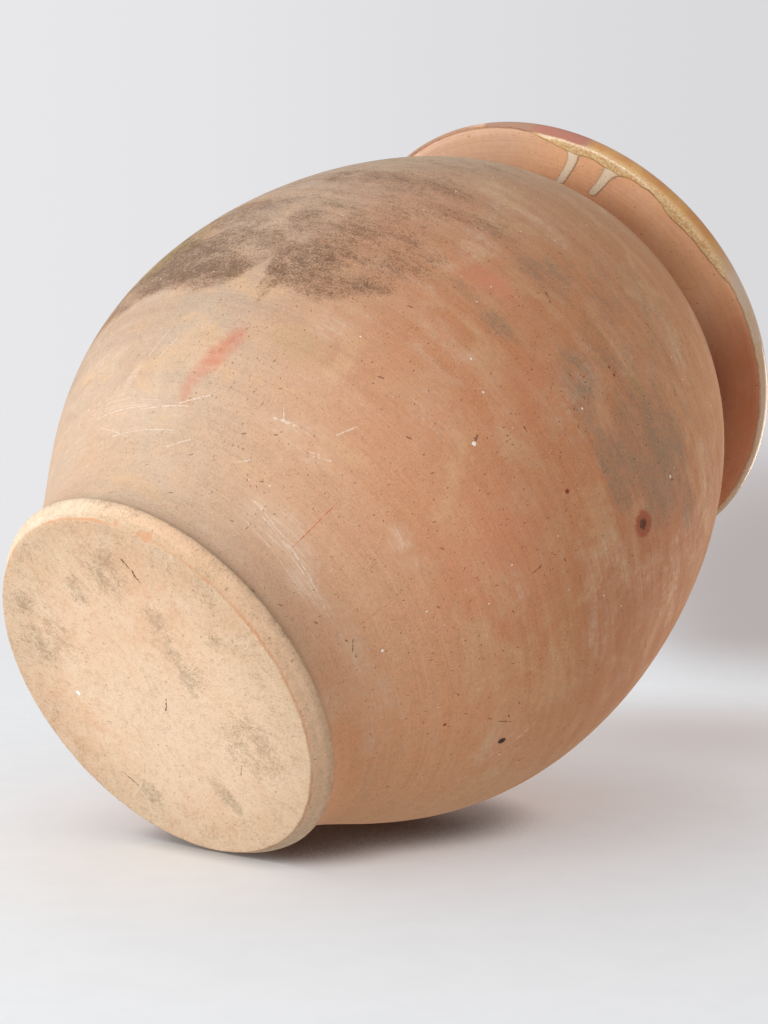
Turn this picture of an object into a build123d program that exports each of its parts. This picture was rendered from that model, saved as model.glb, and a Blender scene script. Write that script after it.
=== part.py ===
"""Large earthenware olive jar with a glazed inside and a wide flared rim.

The jar stands upright on its foot: millimetres, +Z up along the jar's axis, origin at the middle of
the underside. Every section is turned about that axis. Profiles are drawn as (radius, height).
"""
import os

from build123d import *

jar_height = 456.6  # the bare clay, from the underside to the top of the lip

# Foot and floor
base_dia = 226.0  # underside, out to its worn edge
foot_width = 9.0  # how far in the foot ring's underside runs to the disc of the floor
foot_height = 12.4
foot_flare = 7.2  # how far the foot ring swells out past the underside
crease = 1.6  # depth of the groove between foot ring and wall
floor_thickness = 15.0

# Body
belly_dia = 412.0
belly_level = 236.0
roll_width = 13.3  # how far the shoulder rolls in from the end of the body to the throat
roll_height = 7.8  # how far it rises over that width
belly_thickness = 13.0
shoulder_thickness = 11.5
lap_slope = 0.45  # how steeply the luted joints fall towards the inside

# Throat, neck and rim
bore_dia = 232.0
neck_thickness = 12.0  # from the bore out to the deepest line of the throat's groove
throat_drop = 16.4  # from the lip's outermost edge down to where the throat's groove begins
bore_drop = 3.2  # from there down to where the bore begins
bore_length = 14.0
rim_overhang = 44.6  # how far the lip stands out past the throat
lip_thickness = 12.0

# Glaze
glaze = 0.8  # thickness of the glass coat
floor_pool = 8.0  # radius to which the pooled glaze curves up the wall
margin_reach = 5.0  # how far the ragged margin usually runs in under the flange
run_width = 7.0
long_run_reach = 29.0  # how far in under the flange each run ends
short_run_reach = 25.0
long_run_bearing = -63.0  # degrees about the axis
short_run_bearing = -54.0

overrun = 30.0  # how far cutting shapes pass beyond what they cut

# Shares, chosen by eye, of the heights and widths that the curves follow
waist_slope_share = 0.068
low_reach_shares = (0.264, 0.574)
high_reach_shares = (0.337, 0.288)
roll_reach_shares = (0.42, 0.55)
inner_roll_reach_shares = (0.36, 0.28)
mouth_reach_shares = (0.24, 0.5)
foot_bulge_shares = (0.58, 0.45)
low_joint_share = 0.52
high_joint_share = 0.27
margin_shares = (
    0.5, 0.9, 1.15, 0.7, 0.85, 1.3, 1.05, 0.6, 0.8, 1.1, 0.95, 0.7,
    1.2, 1.0, 0.75, 0.9, 1.25, 0.8, 0.6, 0.9, 1.3, 1.1, 0.5, 0.3,
    0.7, 0.35, 0.2, 0.6, 1.3, 0.7, 1.5, 0.8, 0.5, 0.7, 0.4, 0.3,
)
run_outline_shares = ((-0.95, -0.05), (-0.45, 0.25), (-0.38, 0.65), (-0.42, 0.92))

# Places worked out from the sizes
base_r = base_dia / 2
slab_r = base_r - foot_width
foot_r = base_r + foot_flare
waist_r = foot_r - crease
belly_r = belly_dia / 2
bore_r = bore_dia / 2
throat_r = bore_r + neck_thickness
lip_r = lip_thickness / 2
rim_level = jar_height - lip_r  # height of the lip's outermost edge
throat_start = rim_level - throat_drop
shoulder_level = throat_start - roll_height
bore_start = throat_start - bore_drop
bore_end = bore_start + bore_length
lip_centre_r = throat_r + rim_overhang - lip_r
flange_level = rim_level - lip_r  # flat underside of the rim's flange
throat_radius = (flange_level - throat_start) / 2

shoulder_way = Vector(-0.656, 0.755).normalized()  # how the body's outline runs where it ends
shoulder_out = Vector(shoulder_way.Y, -shoulder_way.X)
waist_way = Vector(waist_slope_share, 1).normalized()
rise = Vector(0, 1)
run_in = Vector(-1, 0)

waist = Vector(waist_r, foot_height)
belly = Vector(belly_r, belly_level)
groove_foot = Vector(throat_r + throat_radius, throat_start)
shoulder = Vector(groove_foot.X + roll_width, shoulder_level)
groove_back = Vector(throat_r, throat_start + throat_radius)
groove_top = Vector(throat_r + throat_radius, flange_level)
floor_corner = Vector(slab_r, floor_thickness)
inner_belly = belly + run_in * belly_thickness
inner_shoulder = shoulder - shoulder_out * shoulder_thickness
bore_foot = Vector(bore_r, bore_start)
bore_top = Vector(bore_r, bore_end)
glaze_ledge = Vector(bore_r + glaze, bore_end)
lip_top = Vector(lip_centre_r, rim_level + lip_r)
lip_edge = Vector(lip_centre_r + lip_r, rim_level)
lip_under = Vector(lip_centre_r, flange_level)


def span(start, start_way, end, end_way, reach_shares):
    """The four control points of one smooth curve from start to end, leaving and arriving along the given ways."""
    length = (end - start).length
    return (
        start,
        start + start_way * length * reach_shares[0],
        end - end_way * length * reach_shares[1],
        end,
    )


def low_span(start, end):
    """From the waist out to the belly."""
    return span(start, waist_way, end, rise, low_reach_shares)


def high_span(start, end):
    """From the belly in to the shoulder."""
    return span(start, rise, end, shoulder_way, high_reach_shares)


def inner_roll(start, end):
    """From the inside of the shoulder up into the bore."""
    return span(start, shoulder_way, end, rise, inner_roll_reach_shares)


def mouth_span(start, end):
    """From the end of the bore out over the flange to the top of the lip."""
    return span(start, rise, end, -run_in, mouth_reach_shares)


def draw_wall():
    """Edges of the body's whole wall, from the foot ring's seat to the neck collar's seat."""
    Bezier(*low_span(waist, belly))
    Bezier(*high_span(belly, shoulder))
    Bezier(*span(shoulder, shoulder_way, groove_foot, run_in, roll_reach_shares))
    Polyline(groove_foot, bore_foot)
    Bezier(*inner_roll(inner_shoulder, bore_foot))
    Bezier(*high_span(inner_belly, inner_shoulder))
    Bezier(*low_span(floor_corner, inner_belly))
    Polyline(floor_corner, (slab_r, foot_height), waist)


def lap(level, radius):
    """The two ends of a luted joint's slope, outside and inside the wall, through one point of its outside."""
    reach = belly_thickness + overrun
    return (
        Vector(radius + reach, level + reach * lap_slope),
        Vector(radius - reach, level - reach * lap_slope),
    )


def wall_section(low_lap, high_lap):
    """The part of the wall between two luted joints, turned about the axis."""
    low_outer, low_inner = low_lap
    high_outer, high_inner = high_lap
    with BuildPart() as section:
        with BuildSketch(Plane.XZ):
            with BuildLine():
                draw_wall()
            make_face()
            with BuildLine():
                Polyline(
                    low_outer,
                    low_inner,
                    (0, low_inner.Y),
                    (0, high_inner.Y),
                    high_inner,
                    high_outer,
                    close=True,
                )
            make_face(mode=Mode.INTERSECT)
        revolve(axis=Axis.Z)
    return section


# Floor: a flat disc
with BuildPart() as base_slab:
    with BuildSketch():
        Circle(slab_r)
    extrude(amount=floor_thickness)
base_slab.part.label = "base_slab"

# Foot ring: a convex coil pressed round the disc, rounded over into the crease
foot_bulge = Vector(base_r + foot_flare * foot_bulge_shares[0], foot_height * foot_bulge_shares[1])
foot_brow = Vector(foot_r, foot_height - crease)
with BuildPart() as foot_ring:
    with BuildSketch(Plane.XZ):
        with BuildLine():
            Polyline((slab_r, 0), (base_r, 0))
            ThreePointArc((base_r, 0), foot_bulge, foot_brow)
            RadiusArc(foot_brow, waist, -crease)
            Polyline(waist, (slab_r, foot_height), (slab_r, 0))
        make_face()
    revolve(axis=Axis.Z)
foot_ring.part.label = "foot_ring"

# Walls: one outline, parted at two luted joints
with BuildLine(mode=Mode.PRIVATE) as outline:
    low_edge = Bezier(*low_span(waist, belly))
    high_edge = Bezier(*high_span(belly, shoulder))
low_joint = low_edge @ low_joint_share
high_joint = high_edge @ high_joint_share
seat = (Vector(belly_r + overrun, foot_height), Vector(overrun, foot_height))
collar_seat = (groove_foot + rise * overrun, bore_foot + rise * overrun)
low_lap = lap(low_joint.Y, low_joint.X)
high_lap = lap(high_joint.Y, high_joint.X)

lower_wall = wall_section(seat, low_lap)
lower_wall.part.label = "lower_wall"

belly_wall = wall_section(low_lap, high_lap)
belly_wall.part.label = "belly_wall"

shoulder_wall = wall_section(high_lap, collar_seat)
shoulder_wall.part.label = "shoulder_wall"

# Neck collar: the throat's groove outside and the straight bore inside
with BuildPart() as neck_collar:
    with BuildSketch(Plane.XZ):
        with BuildLine():
            ThreePointArc(groove_foot, groove_back, groove_top)
            Polyline(groove_top, bore_top, bore_foot, groove_foot)
        make_face()
    revolve(axis=Axis.Z)
neck_collar.part.label = "neck_collar"

# Rim: a flange flaring from the throat to a fully rounded lip
with BuildPart() as rim:
    with BuildSketch(Plane.XZ):
        with BuildLine():
            Bezier(*mouth_span(glaze_ledge, lip_top))
            ThreePointArc(lip_top, lip_edge, lip_under)
            Polyline(lip_under, groove_top, bore_top, glaze_ledge)
        make_face()
    revolve(axis=Axis.Z)
rim.part.label = "rim"

# Floor glaze: the glass that ran down the walls and pooled over the floor, curving up into the corner
pool_level = floor_thickness + glaze
pool_brow = Vector(slab_r, pool_level + floor_pool)
pool_toe = Vector(slab_r - floor_pool, pool_level)
with BuildPart() as floor_glaze:
    with BuildSketch(Plane.XZ):
        with BuildLine():
            Bezier(*low_span(floor_corner, inner_belly))
            Polyline(inner_belly, (0, inner_belly.Y), (0, floor_thickness), floor_corner)
        make_face()
        with BuildLine():
            Polyline((0, floor_thickness), (0, pool_level), pool_toe)
            RadiusArc(pool_toe, pool_brow, -floor_pool)
            Polyline(pool_brow, pool_brow - run_in * overrun, floor_corner - run_in * overrun)
            Polyline(floor_corner - run_in * overrun, (0, floor_thickness))
        make_face(mode=Mode.INTERSECT)
    revolve(axis=Axis.Z)
floor_glaze.part.label = "floor_glaze"

# The ragged line under the flange where the glaze stopped
margin_line = [
    Vector(lip_centre_r - margin_reach * share, 0).rotate(Axis.Z, 360 * place / len(margin_shares))
    for place, share in enumerate(margin_shares)
]

# Mouth glaze: flush with the bore, over the flange's top and round the lip to the ragged margin under it
with BuildPart() as mouth_glaze:
    with BuildSketch(Plane.XZ):
        with BuildLine():
            Bezier(*mouth_span(glaze_ledge, lip_top))
            ThreePointArc(lip_top, lip_edge, lip_under)
            Polyline(lip_under, lip_under - rise * glaze)
            ThreePointArc(lip_under - rise * glaze, lip_edge - run_in * glaze, lip_top + rise * glaze)
            Bezier(*mouth_span(bore_top, lip_top + rise * glaze))
            Polyline(bore_top, glaze_ledge)
        make_face()
    revolve(axis=Axis.Z)
    with BuildSketch(Plane.XY.offset(flange_level)):
        Circle(lip_centre_r)
        with BuildLine():
            Spline(margin_line, periodic=True)
        make_face(mode=Mode.SUBTRACT)
    extrude(amount=-glaze)
mouth_glaze.part.label = "mouth_glaze"


def glaze_run(bearing, reach):
    """One run of glaze under the flange, from the ragged margin in towards the throat."""
    side = [
        Vector(lip_centre_r - reach * along, run_width * across)
        for across, along in run_outline_shares
    ]
    tip = Vector(lip_centre_r - reach, 0)
    other_side = [Vector(point.X, -point.Y) for point in reversed(side)]
    turned = [point.rotate(Axis.Z, bearing) for point in (*side, tip, *other_side)]
    with BuildPart() as run:
        with BuildSketch(Plane.XY.offset(flange_level)):
            with BuildLine():
                Spline(margin_line, periodic=True)
            make_face()
            with BuildLine():
                Spline(*turned)
                Line(turned[-1], turned[0])
            make_face(mode=Mode.INTERSECT)
        extrude(amount=-glaze)
    return run


glaze_run_long = glaze_run(long_run_bearing, long_run_reach)
glaze_run_long.part.label = "glaze_run_long"

glaze_run_short = glaze_run(short_run_bearing, short_run_reach)
glaze_run_short.part.label = "glaze_run_short"

os.makedirs("parts", exist_ok=True)
export_step(base_slab.part, "parts/base_slab.step")
export_step(foot_ring.part, "parts/foot_ring.step")
export_step(lower_wall.part, "parts/lower_wall.step")
export_step(belly_wall.part, "parts/belly_wall.step")
export_step(shoulder_wall.part, "parts/shoulder_wall.step")
export_step(neck_collar.part, "parts/neck_collar.step")
export_step(rim.part, "parts/rim.step")
export_step(floor_glaze.part, "parts/floor_glaze.step")
export_step(mouth_glaze.part, "parts/mouth_glaze.step")
export_step(glaze_run_long.part, "parts/glaze_run_long.step")
export_step(glaze_run_short.part, "parts/glaze_run_short.step")
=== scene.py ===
"""Looks of a large earthenware olive jar, lying on its side as it was photographed.

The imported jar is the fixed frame: metres, +Z up along the jar's axis, origin at the middle of its
underside. Every visible piece is turned about that axis from the same outline as the solids and
then roughened by a thrower's hand, so it stands for one node of the frame.
"""
from __future__ import annotations

import functools
import logging
import math
from dataclasses import dataclass, field
from enum import Enum
from typing import Callable, Sequence

import bmesh
import bpy
import numpy as np
from mathutils import Matrix, Vector, noise
from mathutils.geometry import interpolate_bezier


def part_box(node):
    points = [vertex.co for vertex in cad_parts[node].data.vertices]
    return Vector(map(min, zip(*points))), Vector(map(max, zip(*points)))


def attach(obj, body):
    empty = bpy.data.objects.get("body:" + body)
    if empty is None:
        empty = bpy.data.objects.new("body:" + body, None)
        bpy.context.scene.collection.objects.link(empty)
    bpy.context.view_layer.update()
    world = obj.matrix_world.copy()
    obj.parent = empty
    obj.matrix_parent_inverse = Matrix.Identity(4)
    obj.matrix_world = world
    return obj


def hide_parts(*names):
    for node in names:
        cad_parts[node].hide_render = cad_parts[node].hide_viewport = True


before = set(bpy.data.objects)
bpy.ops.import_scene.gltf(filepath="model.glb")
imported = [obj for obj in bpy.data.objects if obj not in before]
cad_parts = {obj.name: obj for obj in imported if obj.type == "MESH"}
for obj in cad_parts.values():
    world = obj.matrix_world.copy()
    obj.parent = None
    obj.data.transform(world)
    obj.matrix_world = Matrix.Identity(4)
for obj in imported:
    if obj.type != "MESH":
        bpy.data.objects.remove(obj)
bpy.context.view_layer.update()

MM = 0.001
STEPS = 576  # of a full turn
DOUBLINGS = 5  # how often a spun sector is doubled into the full turn
BODY = "root"
GIRTH_R = 0.19  # radius at which the wall is unrolled, in metres
SHADED_SIDE = (0.966, -0.259, 0.0)  # the way across the jar towards its side away from the window light, where the wall's colour is painted darker as shade
ABOVE_ALL = 999.0  # a height above the whole jar, in millimetres
SENSOR = 36.0  # length of the sensor along the picture's longer side, in millimetres
PICTURE = (768.0, 1024.0)  # size of the photograph, in pixels

log = logging.getLogger("olive_jar")

Pair = tuple[float, float]
Triple = tuple[float, float, float]
Colour = tuple[float, float, float, float]
Mesh = bmesh.types.BMesh
Piece = bpy.types.Object
Material = bpy.types.Material
Tree = bpy.types.NodeTree
Node = bpy.types.Node
Socket = bpy.types.NodeSocket


def tint(red: float, green: float, blue: float) -> Colour:
    """Turn a colour as a screen shows it into the linear colour that a shader takes.

    Args:
        red: Red, 0 to 255.
        green: Green, 0 to 255.
        blue: Blue, 0 to 255.

    Returns:
        The linear colour, with full alpha.
    """
    parts = []
    for part in (red, green, blue):
        share = part / 255
        parts.append(share / 12.92 if share <= 0.04045 else ((share + 0.055) / 1.055) ** 2.4)
    return (parts[0], parts[1], parts[2], 1.0)


# ---- the turned outline


class Side(Enum):
    """Which side of a turned piece a row of points lies on."""

    OUTSIDE = 0
    INSIDE = 1
    JOINT = 2


def at(radius: float, level: float) -> Vector:
    """Return a place or a way on the jar's profile."""
    return Vector((radius, level))


@dataclass(frozen=True)
class Row:
    """One point of a turned profile, in metres, and the way out of the clay there."""

    radius: float
    level: float
    out: float
    rise: float
    side: Side


@dataclass
class Outline:
    """The jar's outline as (radius, height) in millimetres, the same as the solids have."""

    base_r: float = 113.0
    slab_r: float = 104.0
    foot_height: float = 12.4
    foot_flare: float = 7.2
    crease: float = 1.6
    floor_level: float = 15.0
    belly: Vector = field(default_factory=lambda: at(206.0, 236.0))
    belly_thickness: float = 13.0
    shoulder: Vector = field(default_factory=lambda: at(146.5, 426.4))
    shoulder_thickness: float = 11.5
    throat_r: float = 128.0
    throat_level: float = 434.2
    bore_r: float = 116.0
    bore_start: float = 431.0
    bore_end: float = 445.0
    lip_centre: Vector = field(default_factory=lambda: at(166.6, 450.6))
    lip_r: float = 6.0
    glaze: float = 0.8

    @property
    def waist(self) -> Vector:
        """Where the wall springs from the foot ring."""
        return at(self.base_r + self.foot_flare - self.crease, self.foot_height)

    @property
    def floor_corner(self) -> Vector:
        """Where the inner wall meets the floor."""
        return at(self.slab_r, self.floor_level)

    @property
    def groove_r(self) -> float:
        """Radius at which the throat's groove opens."""
        return self.throat_r + (self.flange_level - self.throat_level) / 2

    @property
    def flange_level(self) -> float:
        """Height of the flange's flat underside."""
        return self.lip_centre.y - self.lip_r

    @staticmethod
    def span(
        start: Vector, way: Vector, end: Vector, end_way: Vector, reach: Pair
    ) -> list[Vector]:
        """Sample one smooth curve finely.

        Args:
            start: First point.
            way: The way it leaves.
            end: Last point.
            end_way: The way it arrives.
            reach: How far each handle reaches, as a share of the distance between the points.

        Returns:
            Points along the curve, both ends included.
        """
        length = (end - start).length
        handles = (start + way * length * reach[0], end - end_way * length * reach[1])
        return interpolate_bezier(start, handles[0], handles[1], end, 700)

    def ways(self) -> tuple[Vector, Vector]:
        """Return the ways in which the wall leaves the waist and reaches the shoulder."""
        return at(0.068, 1.0).normalized(), at(-0.656, 0.755).normalized()

    def outer_wall(self) -> list[Vector]:
        """Return the outside of the wall from the waist to the throat's groove."""
        waist_way, shoulder_way = self.ways()
        rise = at(0.0, 1.0)
        groove = at(self.groove_r, self.throat_level)
        low = self.span(self.waist, waist_way, self.belly, rise, (0.264, 0.574))
        high = self.span(self.belly, rise, self.shoulder, shoulder_way, (0.337, 0.288))
        roll = self.span(self.shoulder, shoulder_way, groove, at(-1.0, 0.0), (0.42, 0.55))
        return low + high[1:] + roll[1:]

    def inner_wall(self) -> list[Vector]:
        """Return the inside of the wall from the floor's corner to the foot of the bore."""
        waist_way, shoulder_way = self.ways()
        rise = at(0.0, 1.0)
        shoulder_out = at(shoulder_way.y, -shoulder_way.x)
        inner_belly = self.belly - at(self.belly_thickness, 0.0)
        inner_shoulder = self.shoulder - shoulder_out * self.shoulder_thickness
        bore = at(self.bore_r, self.bore_start)
        low = self.span(self.floor_corner, waist_way, inner_belly, rise, (0.264, 0.574))
        high = self.span(inner_belly, rise, inner_shoulder, shoulder_way, (0.337, 0.288))
        roll = self.span(inner_shoulder, shoulder_way, bore, rise, (0.36, 0.28))
        return low + high[1:] + roll[1:]

    def mouth(self, start: Vector, end: Vector) -> list[Vector]:
        """Return the curve from the end of the bore out to the top of the lip."""
        return self.span(start, at(0.0, 1.0), end, at(1.0, 0.0), (0.24, 0.5))

    def lip(self, grow: float, first: float, last: float) -> list[Vector]:
        """Return an arc round the lip.

        Args:
            grow: How far outside the clay the arc runs, in millimetres.
            first: Angle at which it starts, in degrees; 90 is the lip's top, 0 its outer edge.
            last: Angle at which it ends.

        Returns:
            Points of the arc.
        """
        turns = np.radians(np.linspace(first, last, 60))
        radius = self.lip_r + grow
        return [self.lip_centre + at(math.cos(a), math.sin(a)) * radius for a in turns]


def even_rows(
    points: Sequence[Vector],
    step: float,
    side: Side = Side.OUTSIDE,
    flip: bool = False,
    stops: Sequence[float] = (),
) -> list[Row]:
    """Space the points of a curve evenly and give each its way out of the clay.

    Args:
        points: The curve, in millimetres.
        step: Spacing wanted, in millimetres.
        side: The side of the piece that the curve lies on.
        flip: Whether the clay lies on the curve's right, so that the way out is on its left.
        stops: Heights, in millimetres, at which a row has to lie exactly.

    Returns:
        The rows, in metres.
    """
    line = np.array([(p.x, p.y) for p in points])
    gaps = np.hypot(*np.diff(line, axis=0).T)
    along = np.concatenate(([0.0], np.cumsum(gaps)))
    count = max(2, int(round(along[-1] / step)) + 1)
    places = np.linspace(0.0, along[-1], count)
    for stop in stops:
        exact = float(np.interp(stop, line[:, 1], along))
        places[int(np.argmin(np.abs(places - exact)))] = exact
    nudge = min(0.4, along[-1] / 50)
    rows = []
    for place in places:
        here, back, ahead = (
            np.array([np.interp(s, along, line[:, 0]), np.interp(s, along, line[:, 1])])
            for s in (place, max(0.0, place - nudge), min(along[-1], place + nudge))
        )
        way = ahead - back
        way /= np.hypot(*way)
        out = (-way[1], way[0]) if flip else (way[1], -way[0])
        rows.append(Row(here[0] * MM, here[1] * MM, float(out[0]), float(out[1]), side))
    return rows


def plain_row(radius: float, level: float, side: Side = Side.JOINT) -> Row:
    """Return a row at a radius and a height in millimetres that stays where it is put."""
    return Row(radius * MM, level * MM, 0.0, 0.0, side)


def spin_rows(rows: Sequence[Row], closed: bool, steps: int = STEPS) -> Mesh:
    """Spin a profile about the jar's axis.

    Args:
        rows: The profile; it may start or end on the axis.
        closed: Whether its last point joins its first.
        steps: How many steps the full turn has.

    Returns:
        The turned mesh, with each row's way out and side kept on its vertices.
    """
    mesh = bmesh.new()
    way = mesh.verts.layers.float_vector.new("way")
    side = mesh.verts.layers.int.new("side")
    points = []
    for row in rows:
        point = mesh.verts.new((row.radius, 0.0, row.level))
        point[way] = (row.out, 0.0, row.rise)
        point[side] = row.side.value
        points.append(point)
    edges = [mesh.edges.new(pair) for pair in zip(points, points[1:])]
    if closed:
        edges.append(mesh.edges.new((points[-1], points[0])))
    share = math.tau / 2**DOUBLINGS
    bmesh.ops.spin(
        mesh,
        geom=points + edges,
        cent=(0.0, 0.0, 0.0),
        axis=(0.0, 0.0, 1.0),
        angle=share,
        steps=steps // 2**DOUBLINGS,
        use_merge=False,
        use_duplicate=False,
    )
    for _ in range(DOUBLINGS):
        copied = bmesh.ops.duplicate(mesh, geom=mesh.verts[:] + mesh.edges[:] + mesh.faces[:])["geom"]
        moved = [item for item in copied if isinstance(item, bmesh.types.BMVert)]
        bmesh.ops.rotate(mesh, verts=moved, cent=(0.0, 0.0, 0.0), matrix=Matrix.Rotation(share, 3, "Z"))
        share *= 2.0
    bmesh.ops.remove_doubles(mesh, verts=mesh.verts, dist=1e-6)
    bmesh.ops.recalc_face_normals(mesh, faces=mesh.faces)
    return mesh


def press(mesh: Mesh, depth: Callable[[Vector, Side], float]) -> None:
    """Press a turned mesh in along each row's way out.

    Args:
        mesh: The turned mesh.
        depth: Gives how far in a point goes, in metres, from its place and side.
    """
    way = mesh.verts.layers.float_vector["way"]
    side = mesh.verts.layers.int["side"]
    for point in mesh.verts:
        here = point.co.copy()
        flat = math.hypot(here.x, here.y)
        out = Vector(point[way])
        if out.length_squared == 0.0 or flat < 1e-7:
            continue
        turned = Vector((out.x * here.x / flat, out.x * here.y / flat, out.z))
        point.co = here - turned * depth(here, Side(point[side]))


def put_in(name: str, data: bpy.types.ID) -> Piece:
    """Put data into the scene under a name and return its object."""
    item = bpy.data.objects.new(name, data)
    bpy.context.scene.collection.objects.link(item)
    return item


def stand(item: Piece, place: Vector, way: Vector) -> None:
    """Put an object at a place, its own Z pointing along a way."""
    item.location = place
    item.rotation_mode = "QUATERNION"
    item.rotation_quaternion = way.to_track_quat("Z", "Y")


def finish_piece(
    mesh: Mesh, name: str, nodes: Sequence[str], crisp: float = 35.0
) -> Piece:
    """Make a mesh a piece of the scene.

    Args:
        mesh: The mesh, which is freed.
        name: The piece's name.
        nodes: The nodes of the frame that it stands for.
        crisp: Angle in degrees above which an edge stays sharp.

    Returns:
        The new object, riding on the jar.
    """
    limit = math.radians(crisp)
    for face in mesh.faces:
        face.smooth = True
    for edge in mesh.edges:
        edge.smooth = not (edge.is_manifold and edge.calc_face_angle(0.0) > limit)
    data = bpy.data.meshes.new(name)
    mesh.to_mesh(data)
    mesh.free()
    piece = put_in(name, data)
    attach(piece, BODY)
    if nodes:
        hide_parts(*nodes)
    triangles = sum(len(face.vertices) - 2 for face in data.polygons)
    log.info("%s: %d triangles, stands for %s", name, triangles, ", ".join(nodes) or "no node")
    return piece


def places_of(piece: Piece) -> np.ndarray:
    """Return the places of a piece's vertices, in metres, one row each."""
    count = len(piece.data.vertices)
    flat = np.empty(count * 3, dtype=np.float64)
    piece.data.vertices.foreach_get("co", flat)
    return flat.reshape(count, 3)


def paint(piece: Piece, name: str, values: np.ndarray) -> None:
    """Keep one value for each vertex of a piece, for its material to read."""
    layer = piece.data.attributes.new(name, "FLOAT", "POINT")
    layer.data.foreach_set("value", np.clip(values, 0.0, 1.0).astype(np.float32))


def ease(values: np.ndarray, low: float, high: float) -> np.ndarray:
    """Rise smoothly from 0 at low to 1 at high."""
    share = np.clip((values - low) / (high - low), 0.0, 1.0)
    return share * share * (3.0 - 2.0 * share)


def polar(piece: Piece) -> tuple[np.ndarray, np.ndarray, np.ndarray]:
    """Return the bearings in degrees, radii and heights in millimetres of a piece's vertices."""
    across, depth, heights = (places_of(piece) / MM).T
    return np.degrees(np.arctan2(depth, across)), np.hypot(across, depth), heights


# ---- the thrower's hand


def ripple(place: Vector, octaves: int = 0) -> float:
    """Return a noise from about 0 to 1 at a place, the rougher the more octaves it has."""
    return 0.5 + 0.5 * (noise.fractal(place, 1.0, 2.1, octaves) if octaves else noise.noise(place))


@dataclass(frozen=True)
class Relief:
    """How far the clay departs from a true turned form, always inwards, in millimetres."""

    sway: float = 0.5
    dents: float = 0.22
    bands: float = 0.16
    grit: float = 0.05
    glaze_gap: float = 0.2
    ridges: float = 0.9
    ridge_pitch: float = 13.5
    blur: float = 0.25

    def outside(self, place: Vector) -> float:
        """Return how far in the outside of the wall goes at a place, in metres."""
        bearing = place.copy()
        bearing.z = 0.0
        bearing.normalize()
        sway = ripple(place * 5.0 + Vector((3.1, 0.0, 0.0)))
        dents = ripple(place * 26.0, 3)
        climb = math.atan2(place.y, place.x) / math.tau
        bands = ripple(Vector((bearing.x * 0.8, bearing.y * 0.8, place.z * 105.0 + climb)))
        grit = ripple(place * 210.0)
        depth = self.sway * sway + self.dents * dents + self.bands * bands + self.grit * grit
        return max(0.0, depth) * MM

    def fingers(self, place: Vector) -> float:
        """Return the height of the finger ridges inside the jar at a place, in metres."""
        climb = math.atan2(place.y, place.x) / math.tau
        strength = 0.65 + 0.35 * noise.noise(Vector((place.x * 4, place.y * 4, place.z * 9)))
        ridge = 0.5 + 0.5 * math.sin(math.tau * (place.z / (self.ridge_pitch * MM) + climb))
        return (self.ridges * ridge * strength + self.blur * ripple(place * 30.0)) * MM


def rows_of(kind: type, *rows: tuple) -> tuple:
    """Make each row of plain values one of a kind, such as a mark or a scratch."""
    return tuple(kind(*row) for row in rows)


@dataclass(frozen=True)
class Mark:
    """A stain or a rubbed place on the wall, an ellipse in millimetres round a bearing and a height."""

    bearing: float
    height: float
    across: float
    along: float
    strength: float = 1.0
    lean: float = 0.0

    def field(self, bearings: np.ndarray, heights: np.ndarray, radii: np.ndarray) -> np.ndarray:
        """Return the mark's strength at each place.

        Args:
            bearings: Bearings in degrees.
            heights: Heights in millimetres.
            radii: Distances from the axis in millimetres.

        Returns:
            Values from 0 to the mark's strength.
        """
        gap = (bearings - self.bearing + 180.0) % 360.0 - 180.0
        side = np.radians(gap) * radii
        up = (heights - self.height) * 1.12
        turn = math.radians(self.lean)
        u = side * math.cos(turn) + up * math.sin(turn)
        v = -side * math.sin(turn) + up * math.cos(turn)
        reach = np.hypot(u / self.across, v / self.along)
        return self.strength * ease(-reach, -1.45, -0.35)


def gather(marks: Sequence[Mark], bearings: np.ndarray, heights: np.ndarray, radii: np.ndarray) -> np.ndarray:
    """Lay marks over each other so that they never add up past 1."""
    clear = np.ones_like(bearings)
    for mark in marks:
        clear *= 1.0 - np.clip(mark.field(bearings, heights, radii), 0.0, 1.0)
    return 1.0 - clear


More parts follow.
